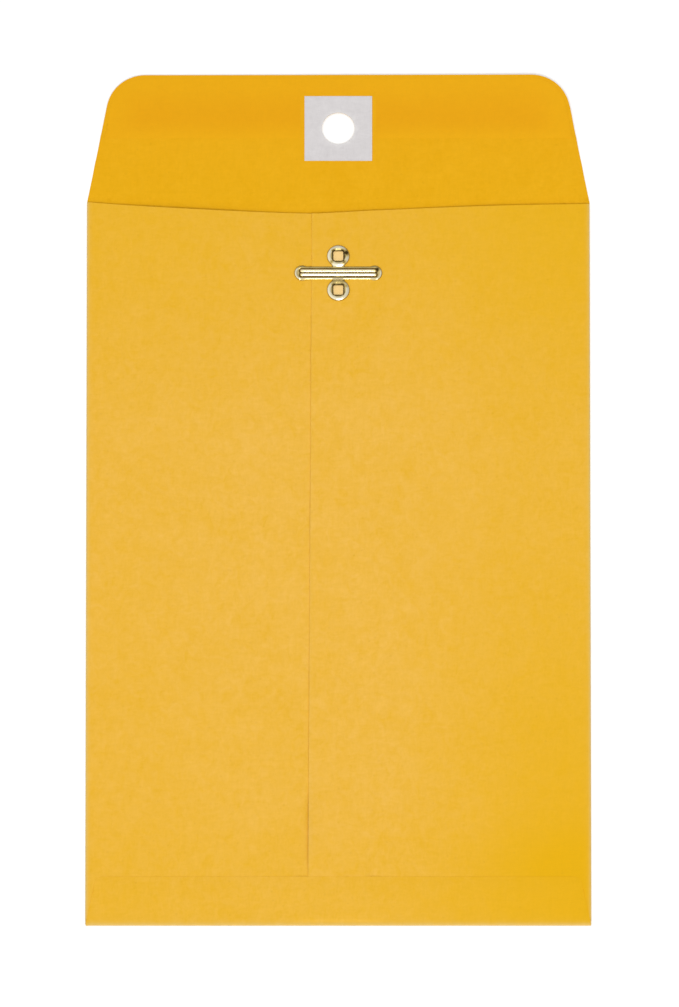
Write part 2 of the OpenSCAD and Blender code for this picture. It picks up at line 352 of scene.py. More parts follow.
print("a quarter arc in 3 steps:", np.round(arc((0, 0), 1, 0, 90, 3), 2).tolist())

# %% [markdown]
# A plain grid would leave a ragged border. A triangulation that keeps every edge of the outline joins
# it and the net into clean triangles instead. Net points that crowd the border are left out first, and
# afterwards the triangles that fall in a hole or outside are dropped.

# %% Fill an outline with triangles
no_area = 1e-9
same_point = 1e-5


def cut_sheet(outline, holes, xs, ys, extra=()):
    """Points and triangles of a flat sheet, filled on the lines xs and ys and at the extra points."""
    net_x, net_y = (v.ravel() for v in np.meshgrid(xs, ys))
    room_x, room_y = (v.ravel() for v in np.meshgrid(least_gap(xs), least_gap(ys)))
    net = np.column_stack([net_x, net_y])
    keep = within_sheet(net, outline, holes)
    for shift_x, shift_y in ((1, 0), (-1, 0), (0, 1), (0, -1)):
        moved = net + np.column_stack([room_x * shift_x, room_y * shift_y])
        keep &= within_sheet(moved, outline, holes)
    points, edges = [], []
    for border in (meet_lines(outline, xs, ys), *holes):
        first, count = len(points), len(border)
        points += border
        edges += [(first + i, first + (i + 1) % count) for i in range(count)]
    points += [*net[keep].tolist(), *extra]
    flat, _, faces = delaunay_2d_cdt([Vector(p) for p in points], edges, [], 0, same_point)[:3]
    flat = np.array([tuple(p) for p in flat])
    faces = np.array([face for face in faces if len(face) == 3])
    faces = faces[within_sheet(flat[faces].mean(axis=1), outline, holes)]
    ab, ac = flat[faces[:, 1]] - flat[faces[:, 0]], flat[faces[:, 2]] - flat[faces[:, 0]]
    area = ab[:, 0] * ac[:, 1] - ab[:, 1] * ac[:, 0]
    faces[area < 0] = faces[area < 0][:, ::-1]
    faces = faces[np.abs(area) > no_area]
    used = np.unique(faces)
    number = np.zeros(len(flat), int)
    number[used] = np.arange(len(used))
    return flat[used], number[faces]


flat, faces = cut_sheet([(0, 0), (3, 0), (0, 3)], [], spaced(0, (3, 3)), spaced(0, (3, 3)))
print("a small triangle is cut into", len(faces), "triangles with", len(flat), "points")

# %% [markdown]
# ## Kraft paper
# Kraft paper is pressed from long wood fibres. Close up it shows short streaks both ways, a fine
# mottle, cloudy patches where the pulp lay thicker, and a few dark specks. One shader group makes
# these from a place on the flat blank, so the grain runs on round a fold as it does in real paper, and
# every paper of the envelope uses it. A picture of paper would do too, but noise never repeats and
# needs no file.

# %% Shader group for the grain
distortion = 1.2
specks_per_metre, speck_core, speck_rim = 260, 0.05, 0.12

grain_outputs = [(name, "Float") for name in ("Tone", "Height", "Cloud", "Speck")]
grain, given = new_group("kraft grain", "ShaderNodeTree", [("Place", "Vector")], grain_outputs)
place = given["Place"]


def noise_at(scale, stretch, detail):
    """Noise in the paper's plane, by its waves per metre and a factor on them for each axis."""
    spread = vector_calc(grain, "MULTIPLY", place, stretch)
    settings = {"Vector": spread, "Scale": scale, "Detail": detail, "Distortion": distortion}
    return add(grain, "ShaderNodeTexNoise", settings).outputs[0]


fibre_long = noise_at(1100, (1.0, 0.3, 1.0), 3)
fibre_cross = noise_at(900, (0.35, 1.0, 1.0), 3)
mottle = noise_at(330, (1.0, 0.8, 1.0), 2)
cloud = noise_at(70, (1.0, 0.8, 1.0), 3)
fibre = calc(grain, "ADD", fibre_long, fibre_cross)
slow = calc(grain, "MULTIPLY_ADD", cloud, 0.7, mottle)
tone = calc(grain, "ADD", slow, calc(grain, "MULTIPLY_ADD", fibre, 0.4, -0.75), clamp=True)
dots = add(grain, "ShaderNodeTexVoronoi", {"Vector": place, "Scale": specks_per_metre}).outputs["Distance"]
speck_range = {"Value": dots, 1: speck_core, 2: speck_rim, 3: 1.0, 4: 0.0}
speck = add(grain, "ShaderNodeMapRange", speck_range).outputs[0]
add(grain, "NodeGroupOutput", {"Tone": tone, "Height": fibre, "Cloud": cloud, "Speck": speck})
print("kraft grain gives", [name for name, kind in grain_outputs])

# %% [markdown]
# Papers and dry films share the grain and its faint relief, so two helpers begin and finish their
# materials. The grain needs a place on the flat blank, which every mesh carries as the attribute
# "flat_place".

# %% Begin and finish a fibrous surface
fibre_spread, fibre_dark = 0.065, 0.935


def attribute(tree, name, output="Fac"):
    """The value of a mesh attribute."""
    return add(tree, "ShaderNodeAttribute", attribute_name=name).outputs[output]


def begin_surface(name):
    """A new material, its tree, its shader's inputs and the outputs of the grain."""
    material, tree, surface = new_material(name)
    fibres = add(tree, "ShaderNodeGroup", node_tree=grain)
    tree.links.new(attribute(tree, "flat_place", "Vector"), fibres.inputs["Place"])
    return material, tree, surface, fibres.outputs


def finish_surface(tree, surface, fibres, colour, roughness, shine, relief):
    """Shade a colour by the fibres; set roughness (least, spread), shine and relief (strength, depth)."""
    level = calc(tree, "MULTIPLY_ADD", fibres["Height"], fibre_spread, fibre_dark)
    tree.links.new(vector_calc(tree, "SCALE", colour, Scale=level), surface["Base Color"])
    least, spread = roughness
    tree.links.new(calc(tree, "MULTIPLY_ADD", fibres["Cloud"], spread, least), surface["Roughness"])
    surface["Specular IOR Level"].default_value = shine
    strength, depth = relief
    bump = add(tree, "ShaderNodeBump", {"Height": fibres["Height"], "Strength": strength, "Distance": depth})
    tree.links.new(bump.outputs[0], surface["Normal"])


print("fibres make a colour lighter or darker by up to", fibre_spread, "of it")

# %% [markdown]
# The outer face is a light golden yellow, the inner face a deeper one. Both are smooth but not shiny.
# Where the paper was rubbed its fibres stand up and lose their gold. It is paler along its folds too,
# and beside the seam's free edge a painted highlight makes it paler; one attribute says where all of
# this lies. "fade" holds the slow change of colour across the sheet, "bare" the paler paper in the
# clasp's eyes, and a cut edge shows the rough inside of the paper.

# %% Paper materials
speck_share, paper_shine, paper_relief_depth = 0.1, 0.1, 3e-5


def paper_material(name, dark, light, faded, wear_and_highlight, roughness, bump, bare=None):
    """Paper whose colour runs from dark to light with the grain, and changes with the attributes."""
    material, tree, surface, fibres = begin_surface(name)
    colour = mix_colours(tree, fibres["Tone"], dark, light)
    colour = mix_colours(tree, attribute(tree, "fade"), colour, faded)
    speck_colour = (0.6 * dark[0], 0.5 * dark[1], 0.5 * dark[2])
    colour = mix_colours(tree, calc(tree, "MULTIPLY", fibres["Speck"], speck_share), colour, speck_colour)
    # Paler where the paper is worn, along its folds, and in a painted highlight beside the seam's free edge.
    uneven_paling = calc(tree, "MULTIPLY_ADD", fibres["Tone"], 0.5, 0.7)
    paler_share = calc(tree, "MULTIPLY", attribute(tree, "wear_and_highlight"), uneven_paling, clamp=True)
    colour = mix_colours(tree, paler_share, colour, wear_and_highlight)
    if bare:
        colour = mix_colours(tree, attribute(tree, "bare"), colour, bare)
    relief = (bump, paper_relief_depth)
    finish_surface(tree, surface, fibres, colour, (roughness - 0.1, 0.2), paper_shine, relief)
    return material


kraft_outer = paper_material("kraft_outer", (0.825, 0.450, 0.026), (0.880, 0.508, 0.090),
                             (0.815, 0.440, 0.004), (0.72, 0.51, 0.15), 0.62, 0.25, (0.94, 0.65, 0.26))
kraft_inner = paper_material("kraft_inner", (0.80, 0.400, 0.001), (0.85, 0.440, 0.009),
                             (0.82, 0.385, 0.004), (0.62, 0.36, 0.06), 0.66, 0.25)
kraft_edge = paper_material("kraft_edge", (0.66, 0.38, 0.05), (0.84, 0.55, 0.14),
                            (0.75, 0.45, 0.08), (0.86, 0.60, 0.22), 0.85, 0.6)
patch_paper = paper_material("patch_paper", (0.64, 0.61, 0.61), (0.72, 0.69, 0.69),
                             (0.66, 0.63, 0.62), (0.80, 0.78, 0.76), 0.7, 0.2)
print("paper materials:", kraft_outer.name, kraft_inner.name, kraft_edge.name, patch_paper.name)

# %% [markdown]
# The gum is brushed on wet and dries to a clear brownish film with a faint sheen. Along its lower
# border and towards the flap's edge it is thin, and there the paper's own colour comes through; "fade"
# makes that change soft. The dry glue lines hide between the layers and need only a plain yellowish
# finish.

# %% Gum and glue materials
film_shine, film_relief = 0.12, (0.15, 2e-5)
brush_spread, grain_share, grain_dark = 0.4, 0.3, 0.93


def film_material(name, thin, thick, roughness):
    """A dry film: thin at its border, thick where it was brushed on fully, streaked by the brush."""
    material, tree, surface, fibres = begin_surface(name)
    full = calc(tree, "MULTIPLY_ADD", fibres["Cloud"], brush_spread, attribute(tree, "fade"))
    full = calc(tree, "SUBTRACT", full, brush_spread / 2, clamp=True)
    colour = mix_colours(tree, full, thin, thick)
    grainy = tuple(grain_dark * level for level in thick)
    colour = mix_colours(tree, calc(tree, "MULTIPLY", fibres["Tone"], grain_share), colour, grainy)
    finish_surface(tree, surface, fibres, colour, (roughness, 0.25), film_shine, film_relief)
    return material


gum_film = film_material("gum_film", (0.85, 0.418, 0.003), (0.822, 0.378, 0.002), 0.4)
glue_film = film_material("glue_film", (0.6, 0.45, 0.22), (0.62, 0.44, 0.2), 0.45)
for node in ("seam_glue", "bottom_glue"):
    frame["nodes"][node].data.materials.clear()
    frame["nodes"][node].data.materials.append(glue_film)
print("film materials:", gum_film.name, glue_film.name)

# %% [markdown]
# ## Folding
# Every paper piece is one flat sheet with at most one fold. A Geometry Nodes tree follows that rule:
# it wraps the sheet round a roll of the fold's radius and lays the rest back over it. Then it lifts
# the sheet, with slow waves where the paper is free. Bending each mesh by hand would be quick too, but
# with a tree a new envelope needs only a new outline and new numbers.

# %% Geometry Nodes tree for a folded sheet
fold_inputs = [
    ("Geometry", "Geometry"), ("Fold Direction", "Vector"), ("Fold Line", "Float"), ("Fold Radius", "Float"),
    ("Base Height", "Float"), ("Thickness", "Float"), ("Share Below", "Float"), ("Wave Height", "Float"),
    ("Waves Per Metre", "Float"), ("Seed", "Float"),
    ("Inner Face", "Material"), ("Outer Face", "Material"), ("Cut Edge", "Material")]
fold, given = new_group("folded sheet", "GeometryNodeTree", fold_inputs, [("Geometry", "Geometry")])


def named(name):
    """A value stored on the sheet's points."""
    return add(fold, "GeometryNodeInputNamedAttribute", {"Name": name}, data_type="FLOAT").outputs[0]


start = add(fold, "GeometryNodeInputPosition").outputs[0]
along = vector_calc(fold, "DOT_PRODUCT", start, given["Fold Direction"])
past_line = calc(fold, "SUBTRACT", along, given["Fold Line"])
roll = calc(fold, "MAXIMUM", calc(fold, "DIVIDE", past_line, given["Fold Radius"]), 0.0)
angle = calc(fold, "MINIMUM", roll, math.pi)
laid_back = calc(fold, "MULTIPLY", calc(fold, "SUBTRACT", roll, angle), given["Fold Radius"])
reach = calc(fold, "MULTIPLY", calc(fold, "SINE", angle), given["Fold Radius"])
before_line = calc(fold, "MINIMUM", past_line, 0.0)
new_along = calc(fold, "SUBTRACT", calc(fold, "ADD", before_line, reach), laid_back)
rise = calc(fold, "MULTIPLY", calc(fold, "SUBTRACT", 1.0, calc(fold, "COSINE", angle)), given["Fold Radius"])

ripple_inputs = {"Vector": start, "W": given["Seed"], "Scale": given["Waves Per Metre"], "Detail": 1.0}
ripple = add(fold, "ShaderNodeTexNoise", ripple_inputs, noise_dimensions="4D").outputs[0]
wave = calc(fold, "MULTIPLY", calc(fold, "MULTIPLY_ADD", ripple, 2.0, -1.0), given["Wave Height"])
lift = calc(fold, "MULTIPLY_ADD", wave, named("free"), named("lift"))
height = calc(fold, "ADD", calc(fold, "ADD", rise, lift), given["Base Height"])
pull = calc(fold, "SUBTRACT", new_along, past_line)
slide = vector_calc(fold, "SCALE", given["Fold Direction"], Scale=pull)
upward = add(fold, "ShaderNodeCombineXYZ", {"Z": height}).outputs[0]
move = vector_calc(fold, "ADD", slide, upward)
folded = add(fold, "GeometryNodeSetPosition", {"Geometry": given["Geometry"], "Offset": move}).outputs[0]
print("folded sheet takes", [name for name, kind in fold_inputs])

# %% [markdown]
# So far the folded sheet is a skin. The second half of the tree gives it thickness: one copy is turned
# over to be the outer face, another is pushed up to be the inner face, and walls join them into one
# closed body. Each face and the cut edge has its own material. A Solidify modifier could do this after
# the tree, but here the tree itself says which side gets which material.

# %% Thickness and faces of the sheet
weld_distance = 1e-7

normal = add(fold, "GeometryNodeInputNormal").outputs[0]
depth = calc(fold, "MULTIPLY", calc(fold, "MULTIPLY", given["Share Below"], given["Thickness"]), -1.0)
sink = vector_calc(fold, "SCALE", normal, Scale=depth)
outer_side = add(fold, "GeometryNodeSetPosition", {"Geometry": folded, "Offset": sink}).outputs[0]
thick_inputs = {"Mesh": outer_side, "Offset Scale": given["Thickness"], "Individual": False}
thick = add(fold, "GeometryNodeExtrudeMesh", thick_inputs).outputs
turned = add(fold, "GeometryNodeFlipFaces", {"Mesh": outer_side}).outputs[0]
joined = add(fold, "GeometryNodeJoinGeometry")
for skin in (turned, thick["Mesh"]):
    fold.links.new(skin, joined.inputs[0])
weld_inputs = {"Geometry": joined.outputs[0], "Distance": weld_distance}
welded = add(fold, "GeometryNodeMergeByDistance", weld_inputs).outputs[0]
done = add(fold, "GeometryNodeRealizeInstances", {"Geometry": welded}).outputs[0]
for face, chosen in (("Outer Face", True), ("Inner Face", thick["Top"]), ("Cut Edge", thick["Side"])):
    face_inputs = {"Geometry": done, "Material": given[face], "Selection": chosen}
    done = add(fold, "GeometryNodeSetMaterial", face_inputs).outputs[0]
add(fold, "NodeGroupOutput", {"Geometry": done})
print("folded sheet has", len(fold.nodes), "nodes")

# %% [markdown]
# The tree is used the same way for every sheet: a flat mesh carries its place on the blank and its
# attributes, a modifier runs the tree, and the result is kept as a plain mesh. A modifier takes its
# values by the identifiers of the tree's inputs, so those are looked up by name.

# %% Fold one sheet
sheet_sharp_angle = math.radians(45)
plain_sheet = {
    "Fold Direction": (0, -1, 0), "Fold Line": 1.0, "Fold Radius": 0.001, "Base Height": paper_t / 2 * MM,
    "Thickness": paper_t * MM, "Share Below": 0.5, "Wave Height": 0.0, "Waves Per Metre": 20.0, "Seed": 4.0,
    "Inner Face": kraft_inner, "Outer Face": kraft_outer, "Cut Edge": kraft_edge}


def store(mesh, name, values, kind="FLOAT"):
    """Store one value, or one vector, for each point of a mesh."""
    field = mesh.attributes.new(name, kind, "POINT")
    key = "vector" if kind == "FLOAT_VECTOR" else "value"
    field.data.foreach_set(key, np.ascontiguousarray(values, np.float32).ravel())


def run_tree(name, mesh, tree, values):
    """Run a Geometry Nodes tree on a mesh with these values, and keep the result as a plain piece."""
    source = add_object(mesh.name, mesh)
    modifier = source.modifiers.new(tree.name, "NODES")
    modifier.node_group = tree
    for item in tree.interface.items_tree:
        if item.in_out == "INPUT" and item.name in values:
            modifier[item.identifier] = values[item.name]
    evaluated = source.evaluated_get(bpy.context.evaluated_depsgraph_get())
    piece = add_object(name, bpy.data.meshes.new_from_object(evaluated))
    bpy.data.objects.remove(source)
    return piece


def fold_sheet(name, flat, faces, fields, settings):
    """Fold a flat sheet (points in mm), with these attributes and tree inputs, into a finished piece."""
    mesh = bpy.data.meshes.new(name + "_flat")
    points = np.column_stack([flat, np.zeros(len(flat))]) * MM
    mesh.from_pydata(points.tolist(), [], faces.tolist())
    mesh.shade_smooth()
    store(mesh, "flat_place", points, "FLOAT_VECTOR")
    for field in ("lift", "free", "fade", "wear_and_highlight", "bare"):
        values = np.broadcast_to(fields.get(field, 0.0), len(flat))
        store(mesh, field, values * MM if field == "lift" else values)
    piece = run_tree(name, mesh, fold, {**plain_sheet, **settings})
    piece.data.set_sharp_from_angle(angle=sheet_sharp_angle)
    return piece


print("a plain sheet is", plain_sheet["Thickness"] / MM, "mm thick")

# %% [markdown]
# ## Front sheet and seal flap
# The front of the envelope and its flap are one piece of paper with a crease between them. The flap
# has tapered sides and round corners. Its outline is drawn as a right half and mirrored, and it can be
# drawn smaller, because the gum keeps a margin inside it.

# %% Flap outline
flap_h = flap_high.y - y_crease
flap_taper, flap_corner_r = 7.9, 11.8


def flap_side(inset, base_y, steps=14):
    """The right half of the flap's border, from its base line to its corner's top, moved in by inset."""
    slope = math.hypot(flap_taper, flap_h)
    corner_x = x_edge - (flap_corner_r * slope + (flap_h - flap_corner_r) * flap_taper) / flap_h
    corner = (corner_x, y_crease + flap_h - flap_corner_r)
    lean = math.degrees(math.atan2(flap_taper, flap_h))
    round_part = arc(corner, flap_corner_r - inset, lean, 90, steps)
    base_x = round_part[0][0] + (round_part[0][1] - base_y) * flap_taper / flap_h
    return [(base_x, base_y), *round_part]


def mirrored(right_half):
    """A closed outline from its right half, which runs from bottom to top."""
    return right_half + [(-x, y) for x, y in reversed(right_half)]


print("flap outline has", len(mirrored(flap_side(0, y_crease))), "points")

# %% [markdown]
# Paper that has been folded and opened again doesn't lie flat. The flap rises a little from its
# crease, most at its right corner, and waves slightly. The eyelet's place and size are read from the
# part's own record, where it is a mount.

# %% Lift of the flap
right_curl, left_curl = 0.95, 0.3
still_until, free_from = y_crease + 3, y_crease + 14
flap_waves = {"Wave Height": 0.18 * MM, "Waves Per Metre": 22.0, "Seed": 2.0}


def ease(low, high, values):
    """A smooth step from 0 at low to 1 at high."""
    t = np.clip((values - low) / (high - low), 0, 1)
    return t * t * (3 - 2 * t)


def flap_lift(x, y):
    """How far the open flap stands off the table, in mm: nothing at the crease, most at its top right."""
    share = np.clip((y - y_crease) / flap_h, 0, 1)
    return share**2 * (left_curl + (right_curl - left_curl) * ease(-x_edge, x_edge, x))


def flap_free(y):
    """Where the flap may wave."""
    return ease(still_until, free_from, y)


eyelet = next(mount for mount in frame["record"]["mounts"] if mount["name"] == "eyelet")
eyelet_r = eyelet["dims"]["r_mm"]
eyelet_x, eyelet_y = eyelet["pos_m"][0] / MM, eyelet["pos_m"][1] / MM
eyelet_ring = arc((eyelet_x, eyelet_y), eyelet_r, 0, 352.5, 47)
print("flap rises", left_curl, "to", right_curl, "mm; eyelet", 2 * eyelet_r, "mm wide")

# %% [markdown]
# Front and flap are one mesh, as they are one paper; two separate pieces would show a gap at the crease
# when the flap closes. The net is fine across the crease, so that a bend there would stay round.

# %% Front sheet with the flap
bend_start, bend_end = y_throat_end, y_crease + 0.9
net_half, net_low_y, net_high_y = 72, -132, 92.4
crease_depth, crease_half = 0.015, 0.5
flap_tone, inside_tone = 0.6, 0.3

front_right = [(x_flat, y_flat), (x_flat, y_throat_end), (x_edge, y_throat_end)]
front_outline = mirrored(front_right + flap_side(0, y_crease))
front_xs = spaced(-x_flat, (-net_half, 1), (net_half, 40), (x_flat, 1))
front_ys = spaced(y_flat, (net_low_y, 1), (net_high_y, 56), (bend_start, 3), (bend_end, 10),
                  (still_until, 3), (flap_high.y - 1, 12))
flat, faces = cut_sheet(front_outline, [eyelet_ring], front_xs, front_ys)
x, y = flat.T
crease_line = np.exp(-((y - y_crease) / crease_half) ** 2)
towards_corner = ease(-40, 70, x) * ease(20, -120, y)
fields = {
    "lift": flap_lift(x, y) - crease_depth * crease_line,
    "free": flap_free(y),
    "fade": flap_tone * ease(y_crease, y_crease + flap_h, y) + inside_tone * towards_corner,
}
front_sheet = fold_sheet("front_sheet", flat, faces, fields, flap_waves)
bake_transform(front_sheet)
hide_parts("front_panel", "seal_flap")
print("front sheet:", len(front_sheet.data.polygons), "faces")

# %% [markdown]
# ## Gum film and eyelet patch
# Gum and patch both lie on the flap and follow its curl and waves, so one helper lays them there.
# Another measures how far a point is from a border, because a film thins out towards its edge.

# %% Helpers for what lies on the flap


def edge_distance(points, outline, closed=True):
    """How far each point is from the nearest piece of an outline."""
    a = np.array(outline if closed else outline[:-1], float)
    b = np.array(outline[1:] + outline[:1] if closed else outline[1:], float)
    best = np.full(len(points), np.inf)
    for start, end in zip(a, b):
        line = end - start
        share = np.clip(((points - start) @ line) / max(line @ line, 1e-12), 0, 1)
        gap = points - start - share[:, None] * line
        best = np.minimum(best, np.hypot(gap[:, 0], gap[:, 1]))
    return best


def lay_on_flap(name, flat, faces, fields, thickness, finish):
    """A thin sheet, of one finish all over, that lies on the flap. Its own lift is added to the flap's."""
    x, y = flat.T
    fields = {**fields, "lift": flap_lift(x, y) + fields["lift"], "free": flap_free(y)}
    settings = {"Base Height": paper_t * MM, "Share Below": 0.0, "Thickness": thickness * MM, **flap_waves}
    settings.update(dict.fromkeys(("Inner Face", "Outer Face", "Cut Edge"), finish))
    return fold_sheet(name, flat, faces, fields, settings)


flap_border = mirrored(flap_side(0, y_crease))
middle = np.array([[eyelet_x, eyelet_y]])
print("eyelet's middle to the flap's border:", edge_distance(middle, flap_border).round(2), "mm")

# %% [markdown]
# The gum covers the upper half of the flap and leaves a window for the patch, open at the bottom. It
# could be painted on the flap with a mask, but as a real film it has an edge that catches the light.

# %% Gum film
gum_low, gum_high = box_mm("seal_gum")
patch_low, patch_high = box_mm("eyelet_patch")
gum_margin, gum_net_top = 1.2, 132.5
edge_drop, edge_width = 0.035, 1.2

window_x, window_top = patch_high.x + gum_margin, patch_high.y + gum_margin
window = [(-window_x, gum_low.y), (-window_x, window_top), (window_x, window_top), (window_x, gum_low.y)]
gum_outline = mirrored(flap_side(gum_margin, gum_low.y)) + window
gum_ys = spaced(gum_low.y + 0.5, (gum_low.y + 4, 7), (gum_net_top, 8))
flat, faces = cut_sheet(gum_outline, [], spaced(-net_half, (net_half, 48)), gum_ys)
y = flat[:, 1]
from_border = np.minimum(y - gum_low.y, edge_distance(flat, gum_outline))
from_flap_edge = edge_distance(flat, flap_border, False)
fields = {
    "lift": -edge_drop * (1 - ease(0, edge_width, from_border)),
    "fade": ease(gum_low.y - 0.5, gum_low.y + 6, y) * ease(0.5, 13, from_flap_edge),
}
gum_sheet = lay_on_flap("gum_film", flat, faces, fields, gum_high.z - gum_low.z, gum_film)
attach(gum_sheet, "flap")
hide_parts("seal_gum")
print("gum film:", len(gum_sheet.data.polygons), "faces")

# %% [markdown]
# The patch is a square of whitish paper, glued on before the hole is punched through both, so that the
# prongs don't tear the flap. The punch leaves a faint raised rim round the hole, with rubbed fibres.

# %% Eyelet patch
net_margin, rim_rise, rim_width = 0.6, 0.03, 0.3
rub_share, rub_width = 0.5, 0.25

patch_outline = [(patch_low.x, patch_low.y), (patch_high.x, patch_low.y),
                 (patch_high.x, patch_high.y), (patch_low.x, patch_high.y)]
patch_xs = spaced(patch_low.x + net_margin, (patch_high.x - net_margin, 14))
patch_ys = spaced(patch_low.y + net_margin, (patch_high.y - net_margin, 14))
flat, faces = cut_sheet(patch_outline, [eyelet_ring], patch_xs, patch_ys)
from_hole = np.hypot(flat[:, 0] - eyelet_x, flat[:, 1] - eyelet_y) - eyelet_r
fields = {
    "lift": rim_rise * np.exp(-from_hole / rim_width),
    "wear_and_highlight": rub_share * np.exp(-from_hole / rub_width),
}
patch_sheet = lay_on_flap("eyelet_patch_paper", flat, faces, fields, patch_high.z - patch_low.z, patch_paper)
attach(patch_sheet, "flap")
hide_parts("eyelet_patch")
print("eyelet patch:", len(patch_sheet.data.polygons), "faces")

# %% [markdown]
# ## Back sheets
# The sides of the blank fold over to the back, the right one over the left, and are glued together in
# a seam. At the top both are cut to one shallow V, the throat, whose edges bow a little. Empty paper
# never lies quite flat, so between the folds, the seam and the bottom flap each side rises like a low
# pillow with slow waves in it. A cloth simulation could find such a shape, but a rule gives the same
# one on every run. The layers on the seam share it, so that none comes through another.

# %% Throat and pillows
throat_x, throat_drop = -5.9, 3.65
throat_left_bow, throat_right_bow = -0.6, 0.5
seam_half, pillow_rise, pillow_foot = 12, 0.3, 50
calm_share, calm_low, calm_high = 0.8, 30, 92
left_mouth, right_mouth, mouth_low, mouth_high = 0.4, 0.12, 60, 93
back_waves = {"Wave Height": 0.3 * MM, "Waves Per Metre": 24.0, "Seed": 7.0}
y_throat_point = y_crease - throat_drop
bottom_free_y = bottom_high.y


def throat_y(x):
    """Height of the throat's edge at a place across the back."""
    left = np.clip((x + x_flat) / (throat_x + x_flat), 0, 1)
    right = np.clip((x_flat - x) / (x_flat - throat_x), 0, 1)
    left_y = y_crease + (y_throat_point - y_crease) * left
    right_y = y_throat_end + (y_throat_point - y_throat_end) * right
    left_bow = 4 * throat_left_bow * left * (1 - left)
    right_bow = 4 * throat_right_bow * right * (1 - right)
    return np.where(x < throat_x, left_y + left_bow, right_y + right_bow)


def swell(x):
    """A smooth swell across each side, from 0 at the seam and at the fold to 1 half-way."""
    return np.sin(math.pi * np.clip((np.abs(x) - seam_half) / (x_flat - seam_half), 0, 1)) ** 2


def pillow(x, y):
    """Where the back is free to rise: nothing at its glued and folded borders, less towards the throat."""
    rise = ease(bottom_free_y, bottom_free_y + pillow_foot, y)
    return swell(x) * rise * (1 - calm_share * ease(calm_low, calm_high, y))


def back_lift(x, y):
    """The lift that all layers of the back share, in mm. The throat stands open, its left edge more."""
    mouth = np.where(x < 0, left_mouth, right_mouth) * swell(x) * ease(mouth_low, mouth_high, y)
    return pillow_rise * pillow(x, y) + mouth


print("throat from", round(float(throat_y(np.array(-x_flat))), 2), "down to", round(y_throat_point, 2), "mm")

# %% [markdown]
# The clasp's two eyes are pierced through the back: their burrs pull the paper down, and the paper in
# each eye is a paler square. The paper is left whole there and only dimpled, which needs a fine net at
# the eyes.

# %% Clasp eyes in the paper
y_clasp = sum(corner.y for corner in box_mm("clasp_base")) / 2
lobe_reach, burr_side = 5.4, 3.5
eye_net, eye_room = 2.2, 0.4
soft_inside, soft_outside = 0.25, 0.05


def eye_square(x, y):
    """1 inside the two square eyes under the clasp, 0 outside, with a soft border."""
    from_eye = np.maximum(np.abs(x), np.abs(np.abs(y - y_clasp) - lobe_reach))
    return 1 - ease(burr_side / 2 - soft_inside, burr_side / 2 + soft_outside, from_eye)


eye_lines_x = spaced(-eye_net, (eye_net, 22))
eye_lines_y = [y_clasp + side * lobe_reach + eye_lines_x for side in (-1, 1)]


def with_eyes(xs, ys):
    """Net lines made fine where the clasp's eyes are."""
    xs = np.concatenate([xs[np.abs(xs) > eye_net + eye_room], eye_lines_x])
    keep = np.ones(len(ys), bool)
    for lines in eye_lines_y:
        keep &= (ys < lines[0] - eye_room) | (ys > lines[-1] + eye_room)
    return np.sort(xs), np.sort(np.concatenate([ys[keep], *eye_lines_y]))


print("eyes at", [round(y_clasp + side * lobe_reach, 2) for side in (-1, 1)])

# %% [markdown]
# Both sides of the blank are drawn flat, beyond the side fold, and then folded over. So the places
# that matter on the back, such as the seam and the eyes, are first turned back into places on the flat
# blank. The left side is the right side's rules in a mirror.

# %% Sides of the blank
y_back = left_low.y
side_fold_r = (left_low.z - front_low.z) / 2
fold_length = math.pi * side_fold_r
fold_lines = np.linspace(x_flat, x_flat + fold_length, 13)
slant_share, slant_inset = 0.6, 0.2
throat_net_low, throat_net_high = 90, 93.2
back_ys = spaced(y_flat, (y_back, 2), (bottom_free_y, 4), (throat_net_low, 60), (throat_net_high, 4))
pale_start, pale_full, pale_end, pale_fall = 0.1, 0.6, 0.9, 0.36
throat_tone, foot_tone = 0.5, 0.2


def unfold_x(x):
    """The place on the flat blank, right of the fold, of a point that ends up at x on the back."""
    return 2 * x_flat + fold_length - x


def cut_side(x_low, x_high, x_lines, mirror):
    """A side of the blank, flat: its fold, its slanted bottom corner, its free edge from x_low up to x_high
    and its throat, filled with a net on these lines across the back."""
    stops = np.linspace(x_flat, x_high * mirror, 60)
    top = [(unfold_x(x), float(throat_y(np.array(x * mirror)))) for x in stops]
    outline = [(x_flat, y_flat), (x_flat + slant_share * fold_length, y_flat)]
    outline += [(unfold_x(x_flat - slant_inset), y_back), (unfold_x(x_low * mirror), y_back)]
    outline += [*reversed(top), (x_flat, y_throat_end)]
    xs, ys = with_eyes(x_lines, back_ys)
    xs = np.sort(mirror * np.concatenate([fold_lines[1:], unfold_x(xs)]))
    return cut_sheet([(x * mirror, y) for x, y in outline], [], xs, ys)


def back_place(flat, mirror):
    """Where flat points end up on the back, and how many fold lengths they lie beyond the fold's start."""
    beyond = flat[:, 0] * mirror - x_flat
    return (x_flat - (beyond - fold_length)) * mirror, flat[:, 1], beyond / fold_length


def past_fold(turn):
    """0 on the fold and before it, 1 on the back."""
    return ease(0.95, 1.0, turn)


def pale_fold(turn):
    """The fold's outside is paler, and so is a narrow strip of the back beside it."""
    beside = np.exp(-(np.maximum(turn - pale_end, 0) / pale_fall))
    return np.where(turn < pale_end, ease(pale_start, pale_full, turn), beside)


def end_fade(y):
    """The paper is deeper in colour towards the throat and beside the bottom flap."""
    return throat_tone * ease(10, 95, y) + foot_tone * ease(-95, -118, y)


def fold_side(name, flat, faces, fields, mirror):
    """A side of the blank, folded over to the back."""
    turn_over = {"Fold Direction": (mirror, 0, 0), "Fold Line": x_flat * MM, "Fold Radius": side_fold_r * MM}
    return fold_sheet(name, flat, faces, fields, {**turn_over, **back_waves})


print("side fold", round(fold_length, 2), "mm long, of radius", round(side_fold_r, 2), "mm")
